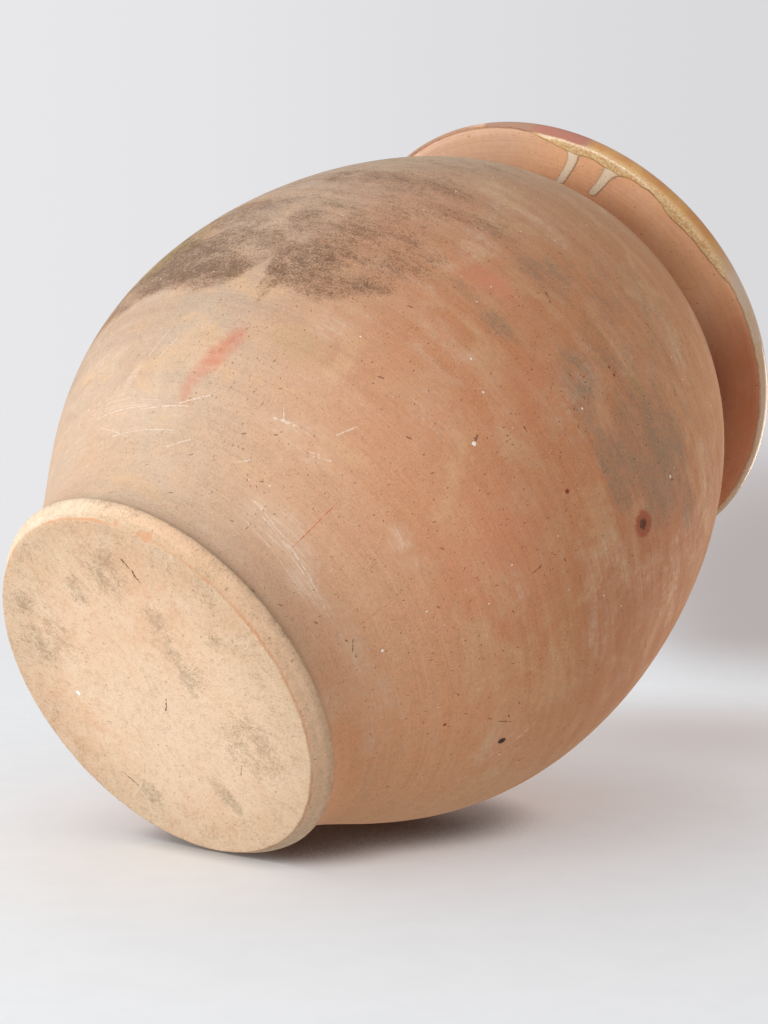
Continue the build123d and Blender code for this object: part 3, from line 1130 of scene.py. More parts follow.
@dataclass(frozen=True)
class FootClay:
    """Cream-tan clay of the underside, its orange worn edge and the slipped band of the foot ring."""

    underside: Colour = tint(209, 180, 151)
    pale: Colour = tint(217, 192, 165)
    blush: Colour = tint(209, 170, 139)
    grey: Colour = tint(126, 106, 80)
    brown: Colour = tint(146, 106, 76)
    worn: Colour = tint(196, 142, 104)
    slip: Colour = tint(224, 203, 177)
    slip_orange: Colour = tint(214, 172, 138)
    slip_grey: Colour = tint(166, 146, 118)
    crack: Colour = tint(92, 56, 42)
    base_r: float = 113.0
    smudges: tuple[Triple, ...] = (
        (6, -80, 24), (30, -49, 11), (27, -36, 12), (40, -12, 13), (33, -24, 12), (20, 63, 9), (26, 70, 8),
        (31, 77, 7), (-42, 78, 13), (-79, -57, 12), (-80, -28, 20), (64, 29, 26), (-24, -68, 12),
        (-60, -32, 17), (70, -38, 9),
    )
    cracks: tuple[tuple[float, float, float, float, float], ...] = (
        (24, -88, 27.5, -82, 0.6), (28.5, -81, 30.5, -73, 1.1), (11, 3.5, 6, 12.5, 0.7),
        (-58, 62, -48, 71, 0.4), (50, 46, 46, 53, 0.4),
    )
    chips: tuple[Triple, ...] = (
        (31, -111.4, 2.9), (51, -102, 3.6), (46.5, -104.3, 2.2), (-84, -75.6, 2.6), (103, -45.4, 1.8),
    )

    def material(self) -> Material:
        """Build the material, which serves both the slab and the ring, and return it."""
        graph = Coats("foot_clay")
        place, broad, patch, fine, grit = graph.body
        lines = graph.part(throwing_lines(), {"Place": place})
        height = graph.split(place)[2]
        flat = graph.level(place)
        radius = graph.length(flat)

        graph.colour = graph.blend(graph.ramp(broad, 0.4, 0.62), self.underside, self.blush)
        graph.wash(patch, 0.35, 0.7, 0.8, self.pale)
        graph.wash(radius, 0.055, 0.112, 0.32, self.slip_grey)
        graph.wash(fine, 0.46, 0.72, 0.18, self.brown)
        graph.wash(grit, 0.46, 0.72, 0.2, self.brown)
        graph.wash(grit, 0.42, 0.26, 0.2, tint(232, 208, 180))

        grey: Socket | None = None
        for x, y, size in self.smudges:
            away = graph.gap(flat, (x * MM, y * MM, 0.0))
            one = graph.ramp(away, size * 0.2 * MM, size * 1.35 * MM, 0.66, 0.0)
            grey = one if grey is None else graph.most(grey, one)
        grey = graph.most(grey, graph.ramp(radius, 0.06, 0.112, 0.04, 0.26))
        dirt, _ = graph.filmed(place, grey, 1.0)
        under = graph.ramp(radius, (self.base_r + 1.5) * MM, (self.base_r + 0.5) * MM)
        shown = graph.times(dirt, under)
        graph.coat(shown, self.grey, 0.6)

        band = graph.blend(graph.ramp(patch, 0.35, 0.68, 0.0, 0.6), self.slip, self.pale)
        toward_shade = graph.along(place, SHADED_SIDE)
        band = graph.blend(graph.ramp(toward_shade, 0.0, 0.1, 0.0, 0.8), band, self.slip_orange)
        band = graph.blend(graph.ramp(lines.outputs["Bands"], 0.4, 0.7, 0.0, 0.3), band, self.slip_grey)
        band = graph.blend(graph.ramp(fine, 0.42, 0.7, 0.0, 0.28), band, self.slip_grey)
        band = graph.blend(graph.ramp(grit, 0.42, 0.7, 0.0, 0.18), band, self.brown)
        rub, _ = graph.filmed(place, graph.ramp(height, 0.006, 0.0124, 0.2, 0.6), 0.9)
        band = graph.blend(graph.times(rub, 0.6), band, tint(140, 118, 92))
        side = graph.ramp(height, 0.0004, 0.0016)
        graph.coat(side, band)

        ragged = graph.times(graph.minus(graph.cloud(place, 120.0, 5.0, 0.75), 0.5), 0.0032)
        edge_r = graph.plus(radius, ragged)
        from_edge = graph.work("ABSOLUTE", graph.minus(edge_r, (self.base_r + 0.1) * MM))
        low = graph.ramp(height, 0.0018, 0.0040, 1.0, 0.0)
        wear = graph.times(graph.ramp(from_edge, 0.0002, 0.0010, 1.0, 0.0), low)
        wear = graph.times(wear, graph.ramp(graph.cloud(place, 36.0, 3.0, 0.6), 0.36, 0.6, 0.15, 0.9))
        breaks, stray = graph.breaks(place), graph.stray(place)
        for x, y, size in self.chips:
            chip, _ = graph.spotted(place, stray, (x * MM, y * MM, 0.0008), size, 0.7)
            wear = graph.most(wear, graph.times(chip, 0.75))
        graph.coat(wear, self.worn, 0.85)

        pits = graph.speckled(place, 130.0, 0.25, 0.07)
        dust = graph.speckled(place, 380.0, 0.2, 0.15)
        nicks = graph.nicked(place, 0.7, 110.0, 0.12, 0.05, 0.24)
        dark = graph.most(graph.most(pits, nicks), graph.times(dust, 0.5))
        graph.coat(dark, tint(128, 92, 66), 0.42)
        relief = graph.times(graph.most(dark, wear), -0.6)
        for x, y, far_x, far_y, width in self.cracks:
            line = graph.scratched(flat, breaks, (x * MM, y * MM, 0.0), (far_x * MM, far_y * MM, 0.0), width)
            graph.coat(line, self.crack, 0.9)
            relief = graph.minus(relief, line)
        chalk, _ = graph.spotted(flat, stray, (-0.066, 0.006, 0.0), 1.6, 0.9)
        graph.coat(chalk, tint(246, 240, 230))
        skin = graph.plus(graph.times(fine, 0.7), graph.times(grit, 0.4))
        return graph.fire(graph.ramp(patch, 0.3, 0.7, 0.8, 0.92), graph.plus(relief, skin), 0.7, 0.0006, 0.3)


@dataclass(frozen=True)
class RimClay:
    """Smooth orange terracotta of the neck and of the rim's underside, with painted light and shade over it."""

    fired: Colour = tint(218, 168, 134)
    warm: Colour = tint(214, 156, 118)
    pink: Colour = tint(210, 150, 124)
    dark: Colour = tint(160, 108, 80)
    # Painted light and shade: multipliers that make the rim's underside paler and cooler towards the window
    # light, brightest in the middle and darker away from the light.
    painted_light_left: Colour = (0.97, 1.19, 1.4, 1.0)
    painted_light_middle: Colour = (1.26, 1.42, 1.42, 1.0)
    painted_shade_right: Colour = (0.78, 0.62, 0.55, 1.0)

    def material(self) -> Material:
        """Build the material and return it."""
        graph = Coats("rim_clay")
        place, broad, patch, fine, grit = graph.body
        radius = graph.length(graph.level(place))
        rings = graph.put("ShaderNodeCombineXYZ", {"X": graph.times(radius, 900.0)})
        wander = graph.steer("MULTIPLY", place, (14.0, 14.0, 14.0))
        circles = graph.cloud(graph.steer("ADD", rings.outputs[0], wander), 1.0, 3.0, 0.6)
        graph.colour = graph.blend(graph.ramp(broad, 0.4, 0.6), self.fired, self.warm)
        graph.wash(patch, 0.4, 0.75, 0.5, self.pink)
        graph.wash(circles, 0.4, 0.7, 0.2, self.dark)
        graph.wash(fine, 0.4, 0.7, 0.18, tint(232, 184, 150))
        # Painted light and shade across the rim's underside: paler towards the window light, brightest in the
        # middle, darker away from it.
        turned = graph.along(place, (0.5, 0.87, 0.0))
        painted_light_shade = graph.blend(graph.ramp(turned, -0.135, -0.085), self.painted_light_left, self.painted_light_middle)
        painted_light_shade = graph.blend(graph.ramp(turned, 0.03, 0.1), painted_light_shade, self.painted_shade_right)
        graph.coat(1.0, painted_light_shade, mode="MULTIPLY")
        # Painted shade: the rim's underside darker close to the throat's groove, in the colour named dark.
        groove = graph.ramp(radius, 0.1295, 0.1325, 0.5, 0.0)
        graph.coat(groove, self.dark)
        pits = graph.speckled(place, 110.0, 0.16, 0.05)
        dust = graph.speckled(place, 380.0, 0.14, 0.15)
        dark = graph.most(pits, graph.times(dust, 0.6))
        graph.coat(dark, tint(98, 62, 46), 0.6)
        crater, pit = graph.spotted(place, graph.stray(place), (-0.0053, -0.1676, 0.4446), 1.6, 0.5)
        graph.coat(pit, tint(120, 72, 56))
        skin = graph.plus(graph.times(fine, 0.4), graph.times(grit, 0.25))
        skin = graph.plus(graph.minus(skin, dark), graph.times(circles, 0.35))
        skin = graph.minus(skin, crater)
        return graph.fire(graph.ramp(patch, 0.3, 0.7, 0.62, 0.78), skin, 0.6, 0.0004, 0.4)


@dataclass(frozen=True)
class OchreGlaze:
    """Glossy lead glaze, yellow where it is thick, brown where it is thin over an edge."""

    honey: Colour = tint(206, 158, 84)
    yellow: Colour = tint(220, 184, 122)
    amber: Colour = tint(192, 130, 74)
    brown: Colour = tint(120, 66, 34)
    bare: Colour = tint(172, 130, 106)
    pink: Colour = tint(178, 118, 100)
    ash: Colour = tint(204, 186, 168)
    crawl: Colour = tint(92, 66, 62)
    bead: Colour = tint(226, 200, 156)
    bead_brown: Colour = tint(200, 156, 108)

    def material(self, name: str, at_lip: bool) -> Material:
        """Build the material.

        Args:
            name: The material's name.
            at_lip: Whether it covers the lip, where it thins, crawls and leaves the clay bare.

        Returns:
            The material.
        """
        graph = Coats(name)
        place, broad, patch, fine, _ = graph.body
        runs = graph.cloud(graph.steer("MULTIPLY", place, (70.0, 70.0, 9.0)), 1.0, 4.0, 0.6)
        graph.colour = graph.blend(graph.ramp(broad, 0.38, 0.64), self.honey, self.yellow)
        graph.wash(runs, 0.48, 0.75, 0.6, self.amber)
        graph.wash(patch, 0.55, 0.8, 0.5, self.yellow)
        flat = place if at_lip else graph.part(unrolled(), {"Place": place}).outputs["Flat"]
        flecks = graph.speckled(flat, 130.0, 0.25, 0.09)
        graph.coat(flecks, self.brown, 0.55)
        pinholes = graph.speckled(flat, 220.0, 0.08, 0.07)
        graph.coat(pinholes, tint(70, 44, 30), 0.8)
        rough = graph.ramp(patch, 0.3, 0.75, 0.12, 0.3)
        relief = graph.minus(graph.times(fine, 0.25), graph.times(pinholes, 0.8))
        if at_lip:
            thin = graph.times(graph.stain("thin"), graph.ramp(patch, 0.25, 0.65, 0.55, 1.0))
            graph.coat(thin, self.amber, 0.9)
            ash = graph.times(graph.stain("ash"), graph.ramp(patch, 0.3, 0.6, 0.5, 0.85))
            graph.coat(ash, self.ash)
            thick = graph.stain("thick")
            grain = graph.cloud(place, 620.0, 3.0, 0.65)
            bead = graph.blend(graph.ramp(grain, 0.4, 0.62), self.bead, self.bead_brown)
            graph.coat(thick, bead, 0.9)
            bare = graph.filmed(place, graph.stain("bare"), 0.2)[1]
            rosy = graph.work("MULTIPLY_ADD", graph.cloud(place, 60.0, 3.0, 0.6), 1.6, graph.stain("rosy"))
            clay = graph.blend(graph.ramp(rosy, 1.1, 1.5), self.bare, self.pink)
            graph.coat(bare, clay)
            shrunk = graph.ramp(graph.cloud(place, 160.0, 4.0, 0.7), 0.42, 0.56)
            crawl = graph.times(graph.stain("crawl"), shrunk)
            graph.coat(crawl, self.crawl, 0.85)
            rough = graph.most(rough, graph.times(graph.most(bare, crawl), 0.75))
        return graph.fire(rough, relief, 0.35, 0.0005)


@dataclass(frozen=True)
class CreamRun:
    """A thin run of glaze, milky cream over the clay."""

    cream: Colour = tint(246, 232, 206)
    clay: Colour = tint(238, 208, 176)
    brown: Colour = tint(166, 112, 74)

    def material(self) -> Material:
        """Build the material and return it."""
        graph = Coats("cream_run")
        place, _, patch, fine, _ = graph.body
        feeds = {"Vector": place, "Scale": 420.0}
        crazed = graph.put("ShaderNodeTexVoronoi", feeds, feature="DISTANCE_TO_EDGE").outputs["Distance"]
        graph.colour = graph.blend(graph.ramp(patch, 0.35, 0.7, 0.0, 0.55), self.cream, self.clay)
        graph.wash(fine, 0.4, 0.7, 0.35, tint(240, 224, 192))
        graph.coat(graph.ramp(crazed, 0.0, 0.05, 0.4, 0.0), tint(150, 108, 76))
        graph.coat(graph.stain("rim"), self.brown, 0.8)
        return graph.fire(graph.ramp(patch, 0.3, 0.7, 0.25, 0.45), fine, 0.3, 0.0004)


# ---- sub-assemblies


@dataclass
class Assembly:
    """A sub-assembly, whose pieces follow the jar's outline."""

    outline: Outline
    pieces: list[Piece] = field(default_factory=list, kw_only=True)

    def depth(self, place: Vector, side: Side) -> float:
        """Return how far in a turned piece goes at a place, in metres."""
        raise NotImplementedError

    def turn(
        self, name: str, slot: str, node: str, rows: Sequence[Row], closed: bool = True, steps: int = STEPS
    ) -> None:
        """Turn a profile about the axis, roughen it and keep it as a piece.

        Args:
            name: The piece's name.
            slot: The record's material slot; not used.
            node: The node of the frame that it stands for.
            rows: The profile.
            closed: Whether its last point joins its first.
            steps: How many steps the full turn has.
        """
        mesh = spin_rows(rows, closed, steps)
        press(mesh, self.depth)
        self.pieces.append(finish_piece(mesh, name, [node]))

    def cover(self, material: Material) -> None:
        """Give every piece a material."""
        for piece in self.pieces:
            piece.data.materials.append(material)


@dataclass
class Walls(Assembly):
    """The wall in its three luted sections, from the foot ring's seat to the neck collar."""

    relief: Relief
    stains: WallStains
    step: float = 1.9
    inner_step: float = 6.0

    def build(self) -> None:
        """Turn each section between its joints, so that neighbours share their edges."""
        low_out, high_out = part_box("lower_wall")[1].z / MM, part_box("belly_wall")[1].z / MM
        low_in, high_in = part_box("belly_wall")[0].z / MM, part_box("shoulder_wall")[0].z / MM
        outer = even_rows(self.outline.outer_wall(), self.step, stops=(low_out, high_out))
        inner = even_rows(self.outline.inner_wall(), self.inner_step, Side.INSIDE, True, (low_in, high_in))
        sections = (
            ("wall_lower", "lower_wall", (0.0, low_out), (0.0, low_in)),
            ("wall_belly", "belly_wall", (low_out, high_out), (low_in, high_in)),
            ("wall_shoulder", "shoulder_wall", (high_out, ABOVE_ALL), (high_in, ABOVE_ALL)),
        )
        for name, node, outer_span, inner_span in sections:
            rows = self.between(outer, *outer_span) + self.between(inner, *inner_span)[::-1]
            if node == "lower_wall":
                rows.append(plain_row(self.outline.slab_r, self.outline.foot_height))
            self.turn(name, "bare_terracotta", node, rows)

    @staticmethod
    def between(rows: list[Row], low: float, high: float) -> list[Row]:
        """Return the rows from one height to another, in millimetres, both included."""
        return [row for row in rows if low - 1e-4 <= row.level / MM <= high + 1e-4]

    def depth(self, place: Vector, side: Side) -> float:
        """Return how far in the wall goes at a place."""
        if side is Side.OUTSIDE:
            level = place.z / MM
            ends = min((level - self.outline.waist.y) / 6.0, (self.outline.throat_level - level) / 2.0, 1.0)
            return self.relief.outside(place) * max(0.0, ends)
        return self.relief.glaze_gap * MM if side is Side.INSIDE else 0.0

    def on_wall(self, bearing: float, height: float) -> Vector:
        """Return the place of a bearing in degrees and a height in millimetres on the roughened outside."""
        points = self.outline.outer_wall()
        place = min(range(1, len(points) - 1), key=lambda i: abs(points[i].y - height))
        here, way = points[place], (points[place + 1] - points[place - 1]).normalized()
        turn = math.radians(bearing)
        true = Vector((here.x * math.cos(turn), here.x * math.sin(turn), here.y)) * MM
        out = Vector((way.y * math.cos(turn), way.y * math.sin(turn), -way.x))
        return true - out * self.depth(true, Side.OUTSIDE)

    def dress(self) -> None:
        """Stain the sections and give them their clay."""
        for piece in self.pieces:
            self.stains.paint_on(piece)
        self.cover(WallClay().material(self.on_wall))


@dataclass
class Foot(Assembly):
    """The floor's disc and the coil of clay pressed round it."""

    hollow: float = 0.7
    edge_wear: float = 0.55
    edge_width: float = 2.5
    grit: float = 0.08

    def build(self) -> None:
        """Turn the slab and the ring with one continuous, slightly hollow underside."""
        lines = self.outline
        underside = [at(s * lines.slab_r, 0.0) for s in np.linspace(0.0, 1.0, 60)]
        slab = even_rows(underside, 2.6)
        slab += [plain_row(lines.slab_r, lines.floor_level), plain_row(0.0, lines.floor_level)]
        self.turn("foot_disc", "base_clay", "base_slab", slab, closed=False)

        tread = [at(r, 0.0) for r in np.linspace(lines.slab_r, lines.base_r - 0.6, 30)]
        ring = even_rows(tread, 1.2) + self.flank() + [plain_row(lines.slab_r, lines.foot_height)]
        self.turn("foot_coil", "slipped_clay", "foot_ring", ring)

    def flank(self) -> list[Row]:
        """Return the rows of the coil's side, from the worn lower edge over the swell into the crease."""
        lines = self.outline
        foot_r = lines.base_r + lines.foot_flare
        start, brow = at(lines.base_r, 0.0), at(foot_r, lines.foot_height - lines.crease)
        bulge = at(lines.base_r + lines.foot_flare * 0.58, lines.foot_height * 0.45)
        swell = interpolate_bezier(
            start + at(-0.6, 0.0), start + at(0.35, 0.05), bulge + at(-1.6, -1.9), bulge, 40
        )
        handles = bulge + at(1.7, 2.0), brow + at(-0.5, -1.9)
        swell += interpolate_bezier(bulge, *handles, brow, 40)[1:]
        crease = [
            brow - at(lines.crease, 0.0) + at(math.cos(a), math.sin(a)) * lines.crease
            for a in np.linspace(0.0, math.pi / 2, 14)
        ]
        return even_rows(swell + crease[1:], 0.75)[1:]

    def depth(self, place: Vector, side: Side) -> float:
        """Return how far in the foot goes at a place."""
        if side is not Side.OUTSIDE:
            return 0.0
        radius = math.hypot(place.x, place.y) / MM
        rough = ripple(place * 45.0, 4)
        grit = ripple(place * 260.0)
        if place.z < 0.0004:
            dish = self.hollow * (1.0 - min(1.0, radius / self.outline.base_r) ** 3)
            edge = self.edge_wear * max(0.0, 1.0 - abs(self.outline.base_r - radius) / self.edge_width)
            return (dish + 0.25 * rough + self.grit * grit + edge * rough * 0.3) * MM
        lift = min(1.0, (self.outline.foot_height - place.z / MM) / 1.5)
        waves = ripple(Vector((place.x * 14, place.y * 14, place.z * 160)))
        return max(0.0, (0.35 * waves + 0.3 * rough + self.grit * grit)) * lift * MM

    def dress(self) -> None:
        """Give the slab and the ring their clay."""
        self.cover(FootClay().material())


@dataclass
class Rim(Assembly):
    """The neck collar and the flared rim with its rolled lip."""

    dents: float = 0.16
    rings: float = 0.14

    def build(self) -> None:
        """Turn the collar's groove and the rim's flange and lip."""
        lines = self.outline
        bore_top, bore_foot = at(lines.bore_r, lines.bore_end), at(lines.bore_r, lines.bore_start)
        half = (lines.flange_level - lines.throat_level) / 2
        centre = at(lines.groove_r, lines.throat_level + half)
        groove = [centre + at(-math.sin(a), -math.cos(a)) * half for a in np.linspace(0.0, math.pi, 50)]
        rows = even_rows(groove, 0.9)
        rows += [plain_row(*bore_top), plain_row(*bore_foot)]
        self.turn("throat_collar", "rim_terracotta", "neck_collar", rows)

        ledge = at(lines.bore_r + lines.glaze, lines.bore_end)
        lip_top = lines.lip_centre + at(0.0, lines.lip_r)
        under = [at(r, lines.flange_level) for r in np.linspace(lines.groove_r, lines.lip_centre.x, 40)]
        rows = even_rows(under, 1.5)
        rows += even_rows(lines.lip(0.0, -90.0, 90.0), 0.9)[1:]
        rows += even_rows(lines.mouth(ledge, lip_top)[::-1], 1.8)[1:]
        rows.append(plain_row(*bore_top))
        self.turn("rim_flange", "rim_terracotta", "rim", rows)

    def depth(self, place: Vector, side: Side) -> float:
        """Return how far in the neck and rim go at a place."""
        if side is not Side.OUTSIDE:
            return 0.0
        radius = math.hypot(place.x, place.y) / MM
        ends = max(0.0, min(1.0, (radius - self.outline.groove_r) / 5.0))
        dents = ripple(place * 30.0, 3)
        rings = ripple(Vector((radius * 0.33, place.x * 5, place.y * 5)))
        return (self.dents * dents + self.rings * rings) * ends * MM

    def dress(self) -> None:
        """Give the collar and the rim their clay, and the collar's bore the glaze that ran through it."""
        self.cover(RimClay().material())
        collar = self.pieces[0].data
        collar.materials.append(OchreGlaze().material("bore_glaze", False))
        for face in collar.polygons:
            if math.hypot(face.center.x, face.center.y) < (self.outline.bore_r + 0.2) * MM:
                face.material_index = 1


@dataclass
class InnerGlaze(Assembly):
    """The glaze that lines the jar from its pooled floor to the bore."""

    relief: Relief
    thickness: float = 0.7
    pool_edge: float = 8.0
    pool_reach: float = 2.0
    ring_pitch: float = 16.0

    def build(self) -> None:
        """Turn the lining as a thin closed skin with finger ridges under the glass."""
        lines = self.outline
        wall = even_rows(lines.inner_wall()[:-1], 3.4, Side.INSIDE, True)
        reach = self.thickness * MM
        skin = [
            Row(row.radius + row.out * reach, row.level + row.rise * reach, row.out, row.rise, Side.INSIDE)
            for row in wall[2:]
        ]
        pool = lines.floor_level + lines.glaze
        corner = skin[0]
        floor = [at(s * (corner.radius / MM - self.pool_edge), pool) for s in np.linspace(0.0, 1.0, 40)]
        toe, brow = floor[-1], at(corner.radius / MM, corner.level / MM)
        curve = interpolate_bezier(toe, toe + at(4.5, 0.2), brow + at(-0.9, -4.0), brow, 40)
        bottom = even_rows(floor + curve[1:], 2.6, Side.INSIDE, True)
        back = [plain_row(row.radius / MM, row.level / MM) for row in wall[::-1][::3]]
        outer = [plain_row(lines.bore_r + 0.3, lines.bore_start - 0.2)] + back
        seat = [plain_row(lines.slab_r, lines.floor_level), plain_row(0.0, lines.floor_level)]
        rows = bottom + skin[1:] + outer + seat
        self.turn("lining_glaze", "ochre_glaze", "floor_glaze", rows, closed=False, steps=STEPS // 2)

    def depth(self, place: Vector, side: Side) -> float:
        """Return how far the glaze's face moves back towards the clay, below 0 for a ridge."""
        if side is not Side.INSIDE:
            return 0.0
        level, pool = place.z / MM, self.outline.floor_level + self.pool_reach
        if level < pool:
            radius = math.hypot(place.x, place.y)
            rings = 0.5 + 0.5 * math.sin(math.tau * radius / (self.ring_pitch * MM))
            return -0.35 * rings * MM * min(1.0, radius / 0.01)
        fade = min(1.0, (level - pool) / 14.0, (self.outline.bore_start - 4.0 - level) / 12.0)
        return -self.relief.fingers(place) * max(0.0, fade)

    def dress(self) -> None:
        """Give the lining its glaze."""
        self.cover(OchreGlaze().material("lining_glaze", False))


@dataclass
class LipGlaze(Assembly):
    """The glaze over the mouth and the lip, ending under the flange in a ragged beaded margin."""

    skin: float = 0.7
    sunk: float = 0.3
    tongue: float = 6.0
    body: float = 0.62
    feather: float = 0.08
    bead: float = 0.25
    bead_from: float = 1.6
    bead_width: float = 1.1
    shares: tuple[float, ...] = (
        0.5, 0.9, 1.15, 0.7, 0.85, 1.3, 1.05, 0.6, 0.8, 1.1, 0.95, 0.7, 1.2, 1, 0.75, 0.9, 1.25, 0.8, 0.6,
        0.9, 1.3, 1.1, 0.5, 0.3, 0.7, 0.35, 0.2, 0.6, 1.3, 0.7, 1.5, 0.8, 0.5, 0.7, 0.4, 0.3,
    )
    reach: float = 5.0
    seen: tuple[Pair, ...] = (
        (-128, -2), (-112, -4.4), (-100, -5.4), (-90, -5.6), (-80, -4.6), (-74, -2.6), (-70, 0.8), (-67, 2.6),
        (-65.4, 3.6), (-62, 4.6), (-60.4, 3.8), (-57, 2.4), (-55.2, 3.8), (-50, 4.2), (-47.6, 1.6),
        (-45.6, 0.8), (-43.5, 1.2), (-41.8, 0.2), (-39.5, 0.6), (-37.6, 1.2), (-36, 3.8), (-33.5, 4.3),
        (-29, 3.2), (-25, 2.6), (-22, 2.2), (-18.8, 0.9), (-16.6, 0.4), (-14, -2.6), (-8, -3), (0, -3.2),
        (8, -3.4), (30, -3.4), (60, -2.8), (84, -1),
    )

    def margin(self, bearing: float) -> float:
        """Return how far in from the lip's middle the glaze runs at a bearing in degrees, in millimetres."""
        first, last = self.seen[0][0], self.seen[-1][0]
        turn = (bearing + 180.0) % 360.0 - 180.0
        steps, shares = np.arange(0.0, 361.0, 10.0), self.shares + (self.shares[0],)
        wide = np.interp(turn % 360.0, steps, shares) * self.reach
        near = float(np.interp(turn, *zip(*self.seen)))
        weight = min(1.0, max(0.0, (turn - first) / 12.0)) * min(1.0, max(0.0, (last - turn) / 20.0))
        spot_on = Vector((math.cos(math.radians(turn)), math.sin(math.radians(turn)), 0.3))
        ragged = 0.5 * noise.fractal(spot_on * 22.0, 0.9, 2.0, 4)
        return float(wide) * (1.0 - weight) + near * weight + ragged

    def build(self) -> None:
        """Turn the glaze's skin and pull its lower edge to the ragged margin."""
        lines = self.outline
        middle, tip = lines.lip_centre.x, lines.lip_centre.x - self.tongue
        bore_top = at(lines.bore_r, lines.bore_end)
        ledge = bore_top + at(lines.glaze, 0.0)
        lip_top = lines.lip_centre + at(0.0, lines.lip_r)
        over = even_rows(lines.mouth(bore_top, lip_top + at(0.0, self.skin)), 1.6, flip=True)
        over += even_rows(lines.lip(self.skin, 90.0, -90.0), 0.75, flip=True)[1:]
        tongue = [at(r, lines.flange_level - self.skin) for r in np.linspace(middle, tip, 30)]
        over += even_rows(tongue, 0.55, flip=True)[1:]
        back = [plain_row(radius, lines.flange_level + self.sunk) for radius in (tip, middle)]
        back += [plain_row(p.x, p.y) for p in lines.lip(-self.sunk, -75.0, 90.0)[::6]]
        back += [plain_row(p.x, p.y - self.sunk) for p in lines.mouth(ledge, lip_top)[::-1][40::60]]
        back.append(plain_row(*ledge))
        mesh = spin_rows(over + back, True)
        self.pull(mesh)
        self.pieces.append(finish_piece(mesh, "lip_glaze", ["mouth_glaze"], 50.0))

    def pull(self, mesh: Mesh) -> None:
        """Wrap the skin's lower end to the margin, thickening it to a bead and feathering its edge."""
        lines = self.outline
        side = mesh.verts.layers.int["side"]
        way = mesh.verts.layers.float_vector["way"]
        centre_r, low = lines.lip_centre.x, lines.flange_level
        for point in mesh.verts:
            flat = math.hypot(point.co.x, point.co.y)
            radius, level = flat / MM, point.co.z / MM
            unit = Vector((point.co.x / flat, point.co.y / flat, 0.0))
            if level > lines.lip_centre.y + lines.lip_r - 0.5 or radius < centre_r - self.tongue - 0.5:
                if point[side] == Side.OUTSIDE.value and radius > lines.bore_r + 4.0:
                    wave = 0.12 * noise.noise(point.co * 60.0) - 0.12
                    out = point[way]
                    point.co += Vector((unit.x * out.x, unit.y * out.x, out.z)) * wave * MM
                continue
            bearing = math.degrees(math.atan2(point.co.y, point.co.x))
            margin = self.margin(bearing)
            from_top = self.unwrap(radius, level)
            full = self.unwrap(centre_r - self.tongue, low)
            share = from_top / full
            target = share * (self.lip_length() + margin)
            grow = self.body * (1.0 - ease(np.array([share]), 0.93, 1.0)[0]) + self.feather
            grow += self.bead * math.exp(-(((1.0 - share) * full - self.bead_from) / self.bead_width) ** 2)
            if point[side] != Side.OUTSIDE.value:
                grow = -self.sunk
            new_r, new_level = self.rewrap(target, grow)
            point.co = Vector((unit.x * new_r, unit.y * new_r, new_level)) * MM

    def lip_length(self) -> float:
        """Return the length round the lip from its top to its underside, in millimetres."""
        return math.pi * self.outline.lip_r

    def unwrap(self, radius: float, level: float) -> float:
        """Return how far round the lip and in under the flange a place is, from the lip's top."""
        centre = self.outline.lip_centre
        if radius < centre.x and level < centre.y:
            return self.lip_length() + centre.x - radius
        angle = math.atan2(level - centre.y, radius - centre.x)
        return max(0.0, (math.pi / 2 - angle) * self.outline.lip_r)

    def rewrap(self, along: float, grow: float) -> Pair:
        """Return the radius and height of a place so far round, and so far outside the clay."""
        centre, round_r = self.outline.lip_centre, self.outline.lip_r
        if along >= self.lip_length():
            return centre.x - (along - self.lip_length()), self.outline.flange_level - grow
        angle = math.pi / 2 - along / round_r
        return centre.x + math.cos(angle) * (round_r + grow), centre.y + math.sin(angle) * (round_r + grow)

    def dress(self) -> None:
        """Mark where the glaze is thin, thick, bare or crawled, and give it its finish."""
        piece, centre = self.pieces[0], self.outline.lip_centre
        bearings, radii, heights = polar(piece)
        angle = np.degrees(np.arctan2(heights - centre.y, radii - centre.x))
        under = (heights < centre.y - 2.0).astype(float)
        margins = np.array([self.margin(b) for b in bearings])
        left = (radii - (centre.x - margins)) * under + (1.0 - under) * 99.0
        thin = ease(angle, -66.0, -26.0) * (1.0 - ease(angle, 60.0, 100.0))
        paint(piece, "thin", thin)
        paint(piece, "thick", under * ease(left, 0.5, 1.6) * (1.0 - ease(angle, -70.0, -30.0)))
        paint(piece, "ash", ease(bearings, -26.0, -12.0) * (1.0 - ease(bearings, 60.0, 90.0)))
        pink = ease(bearings, -90.0, -84.0) * (1.0 - ease(bearings, -63.0, -57.0)) * ease(angle, -75.0, -40.0)
        dull = 0.5 * (1.0 - ease(np.abs(bearings + 112.0), 14.0, 34.0)) * ease(angle, -70.0, -30.0)
        paint(piece, "bare", np.maximum(pink, dull) * (1.0 - ease(angle, 50.0, 100.0)))
        paint(piece, "rosy", ease(bearings, -80.0, -68.0) * (1.0 - ease(bearings, -65.0, -53.0)))
        named = 0.3 + 0.7 * ease(bearings, -46.0, -43.0) * (1.0 - ease(bearings, -21.0, -17.0))
        outer = (radii > centre.x - 8.0).astype(float)
        paint(piece, "crawl", under * outer * (1.0 - ease(left, 0.3, 1.1)) * named)
        self.cover(OchreGlaze().material("lip_glaze", True))


@dataclass(frozen=True)
class RunLine:
    """The middle line of one run under the flange: radius, bearing and half width at each place."""

    name: str
    node: str
    places: tuple[Triple, ...]


